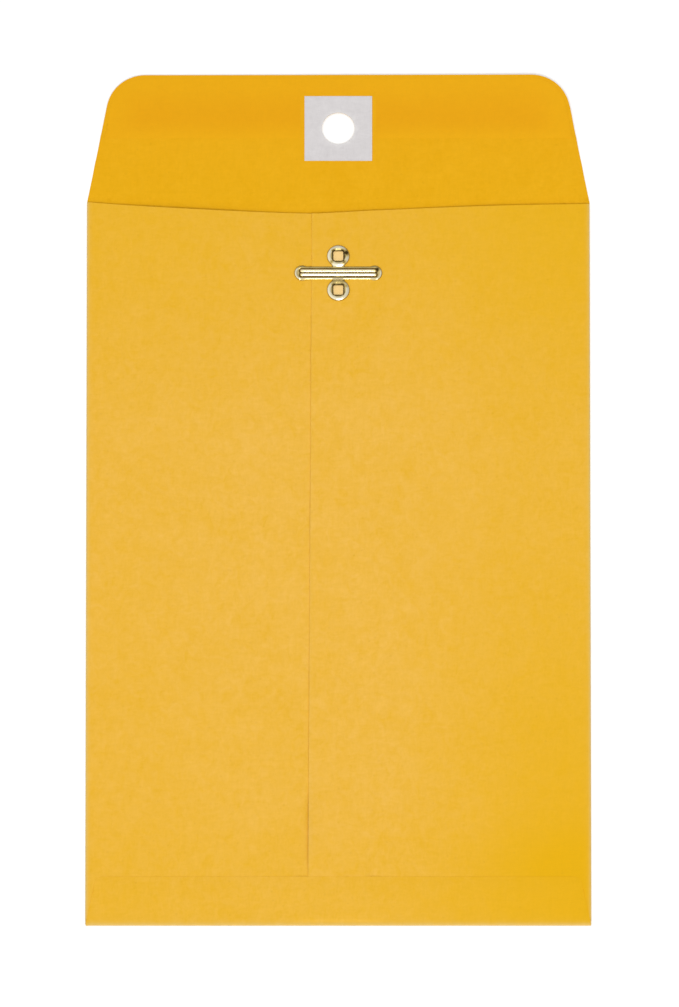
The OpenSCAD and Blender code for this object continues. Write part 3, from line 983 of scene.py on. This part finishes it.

# %% [markdown]
# The left side lies under the right one on the seam, flat on the pocket. It needs no rules of its own
# beyond the shared lift, a colour that deepens slowly towards its corner, and the paler fold.

# %% Left back sheet
side_tone, low_tone, fold_paling = 0.12, 0.12, 0.8

x_lines = spaced(x_flat - 0.5, (x_flat - 3, 3), (seam_half, 17), (-x_seam, 10))
flat, faces = cut_side(x_seam, x_seam, x_lines, -1)
x, y, turn = back_place(flat, -1)
on_back = past_fold(turn)
fields = {
    "lift": on_back * back_lift(x, y),
    "free": on_back * pillow(x, y),
    "fade": on_back * (end_fade(y) + side_tone * ease(-20, -70, x) + low_tone * ease(0, -100, y)),
    "wear_and_highlight": fold_paling * pale_fold(turn),
}
left_sheet = fold_side("left_back_sheet", flat, faces, fields, -1)
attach(left_sheet, "envelope")
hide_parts("left_back_panel", "left_fold")
print("left back sheet:", len(left_sheet.data.polygons), "faces")

# %% [markdown]
# The right side lies over the left one on the seam, so beside the seam it steps down by the thickness
# of paper and glue to its own fold: steeply where the bottom flap presses on it, and gently above. Its
# free edge leans out a little towards the bottom and stands a hair off the left sheet. Low down it has
# come loose from the glue and stands up more, which makes the seam's line darker there.

# %% Rules of the seam
climb = right_high.z - left_high.z
step_low, step_high, gentle_low = x_seam + 1.5, x_seam + 0.3, x_seam + 11
gentle_start, gentle_end = bottom_free_y + 1, bottom_free_y + 25
seam_shift, seam_lean = 0.45, 1.2
edge_slack, slack_swing, slack_y, slack_length = 0.07, 0.5, -10, 9
loose_lift, loose_top, loose_end = 0.6, -92.0, 5
lifted_width, held_end = 6, 8
clasp_holds, clasp_lets_go = 6, 15


def seam_step(x, y):
    """How far the right side climbs on to the left one."""
    foot = step_low + (gentle_low - step_low) * ease(gentle_start, gentle_end, y)
    return climb * ease(foot, step_high, x)


def free_edge(y):
    """Where the free edge runs."""
    return seam_shift - x_seam - seam_lean * (y_crease - y) / (y_crease - y_bottom)


def edge_lift(x, y):
    """How far the free edge stands up: not at the bottom flap or under the clasp, most where it is loose."""
    slack = edge_slack * (1 + slack_swing * np.cos((y - slack_y) / slack_length))
    slack = slack * ease(clasp_holds, clasp_lets_go, np.abs(y - y_clasp))
    loose = loose_lift * (1 - ease(loose_top - loose_end, loose_top, y))
    near_edge = np.clip(1 - (x - free_edge(y)) / lifted_width, 0, 1) ** 2
    return (slack + loose) * near_edge * ease(bottom_free_y, bottom_free_y + held_end, y)


print("free edge from", round(free_edge(y_back), 2), "to", round(free_edge(y_throat_point), 2), "mm")

# %% [markdown]
# With these rules the right side is cut and folded like the left one. It also carries the dimpled
# eyes, its colour deepens towards the lower right, and a painted highlight runs along its free edge.

# %% Right back sheet
eye_dimple, fold_paling, seam_highlight, seam_highlight_width = 0.12, 0.7, 0.1, 0.35
right_tone, corner_tone = 0.36, 0.5

x_lines = spaced(x_flat - 0.5, (x_flat - 3, 3), (gentle_low + 1, 14), (step_low, 10), (step_high, 6), (0, 6),
                 (-x_seam + 1, 8))
flat, faces = cut_side(free_edge(y_back), free_edge(y_throat_point), x_lines, 1)
x, y, turn = back_place(flat, 1)
on_back = past_fold(turn)
eyes = eye_square(x, y) * on_back
right_fade = ease(5, 72, x) * (right_tone + corner_tone * ease(20, -120, y))
# Painted highlight: a pale line along the seam's free edge.
at_edge = np.exp(-np.abs(x - free_edge(y)) / seam_highlight_width) * on_back
fields = {
    "lift": on_back * (back_lift(x, y) + seam_step(x, y) + edge_lift(x, y)) - eye_dimple * eyes,
    "free": on_back * pillow(x, y),
    "fade": on_back * np.clip(end_fade(y) + right_fade, 0, 1),
    "wear_and_highlight": fold_paling * pale_fold(turn) + seam_highlight * at_edge,
    "bare": eyes,
}
right_sheet = fold_side("right_back_sheet", flat, faces, fields, 1)
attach(right_sheet, "envelope")
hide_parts("right_back_panel", "right_fold")
print("right back sheet:", len(right_sheet.data.polygons), "faces")

# %% [markdown]
# ## Bottom flap
# The bottom of the blank folds up over both sides and is glued down flat. It has to climb over the
# seam, which shows as a low raised pad in its middle. Its fold runs out to both corners and closes
# them. It could be modelled in place, but drawn flat and folded like the sides, its fold and its grain
# come out right by themselves.

# %% Outline of the bottom flap
bottom_taper, bottom_corner_r = 2.4, 2.5
pad_flat, pad_foot = x_seam + 1.5, x_seam + 8
pad_low_y, pad_full_y = -133.8, -132.6
bottom_fold_r = (bottom_low.z - front_low.z) / 2
bottom_length = math.pi * bottom_fold_r
x_corner = x_edge - 0.1


def unfold_y(y):
    """The place on the flat blank, below the bottom fold, of a point that ends up at y on the back."""
    return 2 * y_flat - bottom_length - y


def pad(x, y):
    """The rise over the seam."""
    return climb * ease(pad_foot, pad_flat, np.abs(x)) * ease(pad_low_y, pad_full_y, y)


corner = (x_flat - bottom_taper - bottom_corner_r, bottom_free_y - bottom_corner_r)
bottom_right = [(x_corner, y_flat), (x_corner, unfold_y(y_flat))]
bottom_right += [(px, unfold_y(py)) for px, py in arc(corner, bottom_corner_r, 8, 90, 10)]
print("bottom flap's pad rises", round(climb, 2), "mm over the seam")

# %% [markdown]
# This sheet bends along its length where the sides bend across, so its net has close lines for the
# fold in y and for the pad's slopes in x. Its free border is pressed down a little into the layers
# below, as glued paper is.

# %% Bottom flap sheet
press_depth, press_width = 0.125, 3
middle_tone, right_tone, left_tone = 0.32, 0.62, 0.2

xs = spaced(-net_half, (-pad_foot, 18), (-pad_flat, 7), (pad_flat, 6), (pad_foot, 7), (net_half, 18))
turn_lines = np.linspace(y_flat, unfold_y(y_flat), 13)[1:]
y_lines = spaced(pad_low_y, (pad_full_y, 5), (bottom_free_y - 0.6, 6))
ys = np.sort(np.concatenate([turn_lines, unfold_y(y_lines)]))
flat, faces = cut_sheet(mirrored(bottom_right), [], xs, ys)
x = flat[:, 0]
beyond = y_flat - flat[:, 1]
y = y_flat + (beyond - bottom_length)
turn = beyond / bottom_length
on_back = past_fold(turn)
from_free_edge = edge_distance(flat, mirrored(bottom_right[1:]), False)
fields = {
    "lift": on_back * (pad(x, y) - press_depth * ease(press_width, 0, from_free_edge)),
    "fade": on_back * (middle_tone + right_tone * ease(-10, 76, x) + left_tone * ease(-30, -70, x)),
    "wear_and_highlight": fold_paling * pale_fold(turn),
}
turn_up = {"Fold Direction": (0, -1, 0), "Fold Line": -y_flat * MM, "Fold Radius": bottom_fold_r * MM}
bottom_sheet = fold_sheet("bottom_flap_sheet", flat, faces, fields, turn_up)
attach(bottom_sheet, "envelope")
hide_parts("bottom_flap", "bottom_fold")
print("bottom flap sheet:", len(bottom_sheet.data.polygons), "faces")

# %% [markdown]
# ## Clasp
# The clasp is stamped from one strip of thin brass-plated tin. Its bar has two hollow beads side by
# side for stiffness and spoon-shaped ends, and above and below it sits a ring with a square eye, whose
# burrs hold the clasp to the paper. Each piece is a flat net raised to a height that follows from its
# distance to the bar's middle, to its rim and to its eye. Sculpting would do for one clasp, but rules
# keep its sizes true. The middle stays with the envelope, and the two prongs are pieces of their own.

# %% Rules of the stamping
tin_t, bead_r, bead_nose = 0.25, 0.62, 1.6
prong_end = box_mm("right_prong")[1].x
x_bead_end = prong_end - bead_nose - bead_r
z_clasp = right_high.z
clasp_at = np.array([0.0, y_clasp, z_clasp])


def bead_height(x, y):
    """Height of the two beads over the strip: half-round, with round noses towards the tip."""
    past_end = np.maximum(np.abs(x) - x_bead_end, 0)
    return np.sqrt(np.maximum(bead_r**2 - (np.abs(y) - bead_r) ** 2 - past_end**2, 0))


def rounded_drop(gap, radius, depth):
    """How far a rounded edge has dropped at this distance from it."""
    left = 1 - np.clip(gap / radius, 0, 1)
    return depth * (1 - np.sqrt(1 - left**2))


bead_turns = np.radians(np.linspace(0, 180, 15))
bead_lines = np.concatenate([bead_r - bead_r * np.cos(bead_turns), [1.4, 1.6, 1.8]])
bead_lines = np.unique(np.round(bead_lines, 4))
bar_ys = np.unique(np.concatenate([-bead_lines, bead_lines]))
print("prong reaches", round(prong_end, 2), "mm; bead top", round(z_clasp + tin_t + bead_r, 2), "mm high")

# %% [markdown]
# Polished plating mirrors its surroundings, so most of its look comes from its shape. Fine wiping
# scratches and a slightly uneven polish soften it, and the grooves hold a dark olive tarnish. Painted
# shade and painted dark reflections darken the metal in the same way. Where a little of either lies,
# the metal turns golden first. A picture of a bright bar would look right from one side only, but a
# mirror-like shader does from all.

# %% Plated metal
wipe_stretch = (0.12, 1.0, 1.0)
scratches_per_metre, clouds_per_metre = 9000.0, 420.0
scratch_relief, scratch_depth = 0.12, 1e-5

plated, tree, surface = new_material("plated_metal")
place = attribute(tree, "flat_place", "Vector")
wiped = vector_calc(tree, "MULTIPLY", place, wipe_stretch)
scratch_inputs = {"Vector": wiped, "Scale": scratches_per_metre, "Detail": 3.0}
scratches = add(tree, "ShaderNodeTexNoise", scratch_inputs).outputs[0]
cloud_inputs = {"Vector": place, "Scale": clouds_per_metre, "Detail": 3.0}
cloudy = add(tree, "ShaderNodeTexNoise", cloud_inputs).outputs[0]
# The tarnish attribute also carries painted shade and painted dark reflections; here they darken, gild and
# roughen the metal.
uneven_darkening = calc(tree, "MULTIPLY_ADD", cloudy, 0.8, 0.6)
dirt_and_shade = calc(tree, "MULTIPLY", attribute(tree, "tarnish_and_shade"), uneven_darkening, clamp=True)
colour = mix_colours(tree, cloudy, (0.90, 0.80, 0.52), (0.95, 0.90, 0.70))
golden = calc(tree, "MULTIPLY", dirt_and_shade, 3.0, clamp=True)
colour = mix_colours(tree, golden, colour, (0.70, 0.54, 0.20))
olive = calc(tree, "MULTIPLY_ADD", dirt_and_shade, 2.2, -0.8, clamp=True)
colour = mix_colours(tree, olive, colour, (0.07, 0.045, 0.012))
tree.links.new(colour, surface["Base Color"])
surface["Metallic"].default_value = 1.0
rough = calc(tree, "MULTIPLY_ADD", scratches, 0.12, calc(tree, "MULTIPLY_ADD", dirt_and_shade, 0.5, 0.1))
tree.links.new(rough, surface["Roughness"])
relief_inputs = {"Height": scratches, "Strength": scratch_relief, "Distance": scratch_depth}
tree.links.new(add(tree, "ShaderNodeBump", relief_inputs).outputs[0], surface["Normal"])
print("metal material:", plated.name)

# %% [markdown]
# A stamping is sheet metal, so each piece gets a second skin a sheet's thickness below the first,
# which never sinks into the paper, and walls between the two. One attribute says where the metal is
# darkened: by tarnish in the groove between the beads, and by painted shade and painted dark
# reflections along their feet, on the upper bead and in soft spots here and there.

# %% Solid tin from a net
least_t, tin_sharp_angle = 0.05, math.radians(55)
under_place, under_tarnish = 5, 0.25


def tin_piece(name, flat, faces, top, tarnish_and_shade):
    """A closed piece of tin: the net at its top height, a second skin below it, and walls between."""
    bottom = np.minimum(np.maximum(top - tin_t, 0), top - least_t)
    count = len(flat)
    points = np.vstack([np.column_stack([flat, top]), np.column_stack([flat, bottom])]) + clasp_at
    sides = {(int(a), int(b)): True for face in faces for a, b in zip(face, np.roll(face, -1))}
    walls = [(b, a, a + count, b + count) for a, b in sides if (b, a) not in sides]
    mesh = bpy.data.meshes.new(name)
    mesh.from_pydata((points * MM).tolist(), [], faces.tolist() + (faces[:, ::-1] + count).tolist() + walls)
    mesh.shade_smooth()
    mesh.set_sharp_from_angle(angle=tin_sharp_angle)
    skins = [np.column_stack([flat, np.full(count, level)]) for level in (0, under_place)]
    store(mesh, "flat_place", np.vstack(skins) * MM, "FLOAT_VECTOR")
    # Tarnish together with painted shade and painted dark reflections, for the metal's colour.
    store(mesh, "tarnish_and_shade", np.concatenate([tarnish_and_shade, np.full(count, under_tarnish)]))
    mesh.materials.append(plated)
    return add_object(name, mesh)


def bell(values, width):
    """1 at zero, falling away smoothly over this width to both sides."""
    return np.exp(-((values / width) ** 2))


def groove_dirt_and_shade(x, y):
    """Tarnish in the groove between the beads, painted shade along their feet, and a painted
    darker reflection over the upper bead and its flange.
    """
    past_end = np.maximum(np.abs(x) - x_bead_end, 0)
    from_bead = np.hypot(past_end, np.abs(y) - bead_r) - bead_r
    groove = bell(y, 0.1) * (past_end < bead_r / 2)
    # Painted shade: a dark line along each bead's foot.
    feet = np.where(from_bead > 0, bell(from_bead - 0.1, 0.22), bell(from_bead, 0.05))
    # Painted reflection: the upper bead and the flange above it are darker and more golden.
    upper_shade = (y > 0) * np.where(from_bead < 0, 0.12, 0.36 * ease(bead_r * 2, bead_r * 2 + 0.3, y))
    return np.maximum.reduce([groove, feet, upper_shade])


def painted_dark_spot(x, y, at, size):
    """A soft painted dark spot, for shadow and dark reflections on the metal."""
    return np.exp(-((x - at[0]) ** 2 + (y - at[1]) ** 2) / size**2)


print("dirt in the groove:", groove_dirt_and_shade(np.array([0.0]), np.array([0.0])))

# %% [markdown]
# The middle of the clasp is a short piece of the bar with a ring at each side. Hollow corners join
# rings and bar. A quarter of the outline is drawn and mirrored twice, and rings of extra points follow
# the round rims and the eyes, because a straight net would leave steps there.

# %% Outline of the clasp's middle
lobe_r, bar_half, x_bend = 3.45, 2.05, 1.95
neck_half, corner_r = 1.85, 1.2
eye_half, eye_corner_r = 1.5, 0.35
ring_gaps, widest_eye_ring = (0.05, 0.11, 0.2, 0.32, 0.5, 0.75, 1.0), 0.6

hollow_x = neck_half + corner_r
hollow_y = lobe_reach - math.sqrt((lobe_r + corner_r) ** 2 - hollow_x**2)
at_bar = 180 - math.degrees(math.asin((bar_half - hollow_y) / corner_r))
at_lobe = math.degrees(math.atan2(lobe_reach - hollow_y, -hollow_x))
quarter = [(x_bend, bar_half), *arc((hollow_x, hollow_y), corner_r, at_bar, at_lobe, 8)]
quarter += arc((0, lobe_reach), lobe_r, at_lobe - 180, 90, 40)[1:]
rim_upper = quarter + [(-x, y) for x, y in reversed(quarter[:-1])]
rim_lower = [(-x, -y) for x, y in rim_upper]


def eye_outline(centre_y, inset):
    """A square eye with round corners, made smaller by inset."""
    reach = eye_half - eye_corner_r
    corners = [(reach, reach, 0), (-reach, reach, 90), (-reach, -reach, 180), (reach, -reach, 270)]
    return [p for x, y, turn in corners
            for p in arc((x, centre_y + y), eye_corner_r - inset, turn, turn + 90, 6)]


eye_holes = [eye_outline(side * lobe_reach, 0) for side in (1, -1)]
rings = []
for gap in ring_gaps:
    for side in (1, -1):
        rings += arc((0, side * lobe_reach), lobe_r - gap, 0, 355, 71)
        if gap < widest_eye_ring:
            rings += eye_outline(side * lobe_reach, -gap)
print("clasp rim:", len(rim_upper + rim_lower), "points, and", len(rings), "points inside")

# %% [markdown]
# Each ring is crowned: it rises from its rim, is highest half-way, and falls a little towards the eye.
# Both of its edges are rounded over. The beads run across the middle and on into the prongs. Tarnish
# lies in the bar's groove. Painted shade darkens the eyes' lips, the rim, the bead feet, the upper
# bead and the neck below the bar, and four soft spots of painted shade stand for shadows and dark
# reflections.

# %% Middle of the clasp
crown_rise, crown_dip, middle_net = 0.35, 0.4, 1.7
rim_round, rim_drop, eye_round, eye_drop = 0.2, 0.2, 0.22, 0.45
# How dark and how wide the painted shade along the rims is.
rim_shade_level, rim_shade_width = 0.7, 0.14

middle_xs = spaced(-middle_net, (middle_net, 14))
flat, faces = cut_sheet(rim_upper + rim_lower, eye_holes, middle_xs, bar_ys, rings)
x, y = flat.T
from_lobe = np.hypot(x, np.abs(y) - lobe_reach)
from_eye = np.minimum(*[edge_distance(flat, eye) for eye in eye_holes])
from_rim = np.minimum(edge_distance(flat, rim_upper, False), edge_distance(flat, rim_lower, False))
from_rim = np.where(np.abs(y) < bar_half - rim_round, 1, from_rim)
ring_share = np.clip((lobe_r - from_lobe) / np.maximum(lobe_r - from_lobe + from_eye, 1e-6), 0, 1)
crown = np.sin(math.pi / 2 * np.minimum(ring_share / 0.5, 1)) - crown_dip * ease(0.55, 1, ring_share)
top = tin_t + crown_rise * crown - rounded_drop(from_rim, rim_round, rim_drop)
top = top - rounded_drop(from_eye, eye_round, eye_drop)
beads = bead_height(x, y)
top = np.where(beads > 0, np.maximum(top, tin_t + beads), top)

# Painted shade: each eye's lip is darkened where shade falls into the eye.
lip = 1 - ease(0.22, 0.55, from_eye)
above_eye = y - np.sign(y) * lobe_reach
# Painted shade over the lamp's bright reflection on each eye's upper lip.
upper_lip = 0.75 * (1 - ease(0.4, 0.9, from_eye)) * ease(1.2, 1.5, above_eye)
# Painted dark reflection on the neck below the bar.
lower_neck = 0.5 * bell(y + 2.7, 0.6)
# Tarnish in the bar's groove, with painted shade along the bead feet and over the upper bead.
bar_dirt_and_shade = groove_dirt_and_shade(x, y) * (np.abs(y) < bar_half)
# Four spots of painted shade: dark reflections on the two rings, and shadow in the hollow corners under the
# upper ring.
spots = [(1.0, (2.4, lobe_reach + 0.9), 0.95), (0.8, (1.8, lobe_reach - 2.1), 0.6),
         (0.7, (-2.1, lobe_reach - 2.0), 0.5), (0.55, (2.3, 1.15 - lobe_reach), 0.5)]
spots = [share * painted_dark_spot(x, y, at, size) for share, at, size in spots]
# Painted shade: a dark line along the rounded rim.
rim = rim_shade_level * bell(from_rim, rim_shade_width)
tarnish_and_shade = np.maximum.reduce([bar_dirt_and_shade, lip, upper_lip, lower_neck, rim, *spots])
clasp_middle = tin_piece("clasp_middle", flat, faces, top, tarnish_and_shade)
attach(clasp_middle, "envelope")
print("clasp middle:", len(clasp_middle.data.polygons), "faces")

# %% [markdown]
# Each prong carries the bar's two beads to a round tip, pressed into a shallow spoon that a finger can
# lift. One is drawn and mirrored for the other side. Its net is fine at the neck, where the real prong
# bends when it is raised through the eyelet.

# %% Shape of a prong
tip_r, bend_length, side_round = 2.35, 0.95, 0.65
tip_gaps = (0.05, 0.11, 0.2, 0.32, 0.45, 0.58, 0.72, 0.9, 1.1, 1.3)
x_tip = prong_end - tip_r

tip_turn = math.degrees(math.acos(-math.sqrt(tip_r**2 - bar_half**2) / tip_r))
prong_rim = [(x_bend, -bar_half), *arc((x_tip, 0), tip_r, -tip_turn, tip_turn, 44), (x_bend, bar_half)]
prong_xs = spaced(x_bend, (x_bend + bend_length, 10), (x_bead_end - 0.2, 18),
                  (x_bead_end + bead_r + 0.05, 10))
tip_rings = [p for gap in tip_gaps for p in arc((x_tip, 0), tip_r - gap, -70, 70, 24)]
flat, faces = cut_sheet(prong_rim, [], prong_xs[1:], bar_ys, tip_rings)
x, y = flat.T
from_rim = edge_distance(flat, prong_rim, False)
at_tip = ease(x_bead_end - 0.6, x_bead_end + 0.8, x)
spoon = 0.14 * bell(from_rim - 0.45, 0.25) - 0.1 * bell(from_rim - 1.15, 0.4)
curled = (1 - at_tip) * rounded_drop(from_rim, side_round, rim_drop)
curled = curled + at_tip * rounded_drop(from_rim, rim_round, rim_drop)
beads = bead_height(x, y)
top = tin_t - curled + np.where(beads > 0, beads, at_tip * spoon)
# Painted dark reflection over the spoon tip.
tip_shade = 0.3 * at_tip * ease(0.5, 0.8, from_rim)
# Tarnish in the groove, painted shade along the bead feet and the rim, and painted reflections on the upper
# bead and tip.
tarnish_and_shade = np.maximum.reduce([groove_dirt_and_shade(x, y), rim_shade_level * bell(from_rim, rim_shade_width), tip_shade])
print("prong net:", len(flat), "points; neck bends over", bend_length, "mm")

# %% [markdown]
# Both prongs are made from that one net. Mirroring turns every face inside out, so the left prong's
# faces are listed the other way round. The right tip has a painted dark reflection that the left one
# hasn't.

# %% Prongs
for name, side in (("right", 1), ("left", -1)):
    turned = faces if side > 0 else faces[:, ::-1]
    # Painted dark reflection on the right tip.
    spot = 0.9 * painted_dark_spot(x, y, (x_tip + 0.8, 1.1), 0.9) * (side > 0)
    prong = tin_piece(name + "_prong_strip", flat * (side, 1), turned, top, np.maximum(tarnish_and_shade, spot))
    ends = [(side * (x_bend + step) * MM, y_clasp * MM, (z_clasp + tin_t) * MM) for step in (0, bend_length)]
    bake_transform(prong)
    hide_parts(name + "_prong")
    print(name, "prong:", len(prong.data.polygons), "faces")

# %% [markdown]
# ## Clinched teeth
# Under the paper the eyes' burrs are clinched: each eye has four pointed teeth that go down through
# the paper and are pressed outwards against its inside. One tooth is drawn, and a Geometry Nodes tree
# sets eight of them, four quarter turns at each eye. Eight copies by hand would be easy too, but would
# all have to be changed one by one.

# %% Geometry Nodes tree for the teeth
teeth_per_eye, eyes_count = 4, 2
teeth_inputs = [
    ("Geometry", "Geometry"), ("Eyes Apart", "Float"), ("Middle", "Vector"), ("Metal", "Material")]
set_out, given = new_group("clinched teeth", "GeometryNodeTree", teeth_inputs, [("Geometry", "Geometry")])
points = add(set_out, "GeometryNodePoints", {"Count": teeth_per_eye * eyes_count}).outputs[0]
index = add(set_out, "GeometryNodeInputIndex").outputs[0]
which_eye = calc(set_out, "FLOOR", calc(set_out, "DIVIDE", index, float(teeth_per_eye)))
eye_y = calc(set_out, "MULTIPLY", calc(set_out, "SUBTRACT", which_eye, 0.5), given["Eyes Apart"])
offset = add(set_out, "ShaderNodeCombineXYZ", {"Y": eye_y}).outputs[0]
spot = vector_calc(set_out, "ADD", offset, given["Middle"])
placed = add(set_out, "GeometryNodeSetPosition", {"Geometry": points, "Position": spot}).outputs[0]
quarter_turn = calc(set_out, "MULTIPLY", index, math.pi / 2)
turn = add(set_out, "ShaderNodeCombineXYZ", {"Z": quarter_turn}).outputs[0]
copy_inputs = {"Points": placed, "Instance": given["Geometry"], "Rotation": turn}
teeth = add(set_out, "GeometryNodeInstanceOnPoints", copy_inputs).outputs[0]
real = add(set_out, "GeometryNodeRealizeInstances", {"Geometry": teeth}).outputs[0]
metal = add(set_out, "GeometryNodeSetMaterial", {"Geometry": real, "Material": given["Metal"]}).outputs[0]
add(set_out, "NodeGroupOutput", {"Geometry": metal})
print("clinched teeth tree has", len(set_out.nodes), "nodes")

# %% [markdown]
# A tooth seen from the side is an L: a wall that goes down from the eye's edge and a foot that points
# outwards, wide at the wall and narrow at its end. It is drawn as a side path with a half width at
# each corner.

# %% One tooth, set eight times
tooth_reach, tooth_point, tooth_room = 1.1, 0.3, 0.1
wall_top, point_t, tooth_tarnish = -0.12, 0.12, 0.3
clinch_low = box_mm("clasp_base")[0].z - z_clasp
root = burr_side / 2 - tin_t
tooth_half = root - tooth_room
foot_end = root + tin_t + tooth_reach

side_path = [(root, wall_top, tooth_half), (root, clinch_low, tooth_half),
             (foot_end, clinch_low, tooth_point / 2), (foot_end, clinch_low + point_t, tooth_point / 2),
             (root + tin_t, clinch_low + tin_t, tooth_half), (root + tin_t, wall_top, tooth_half)]
corners = np.array([(px, side * half, pz) for side in (-1, 1) for px, pz, half in side_path]) * MM
walls = [(i + 6, (i + 1) % 6 + 6, (i + 1) % 6, i) for i in range(6)]
ends = [(1, 4, 5, 0), (2, 3, 4, 1), (11, 10, 7, 6), (10, 9, 8, 7)]
tooth = bpy.data.meshes.new("tooth")
tooth.from_pydata(corners.tolist(), [], walls + ends)
store(tooth, "flat_place", corners, "FLOAT_VECTOR")
store(tooth, "tarnish_and_shade", np.full(len(corners), tooth_tarnish))
tooth_values = {"Eyes Apart": 2 * lobe_reach * MM, "Middle": tuple(clasp_at * MM), "Metal": plated}
clasp_teeth = run_tree("clasp_teeth", tooth, set_out, tooth_values)
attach(clasp_teeth, "envelope")
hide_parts("clasp_base")
print("clasp teeth:", len(clasp_teeth.data.polygons), "faces")
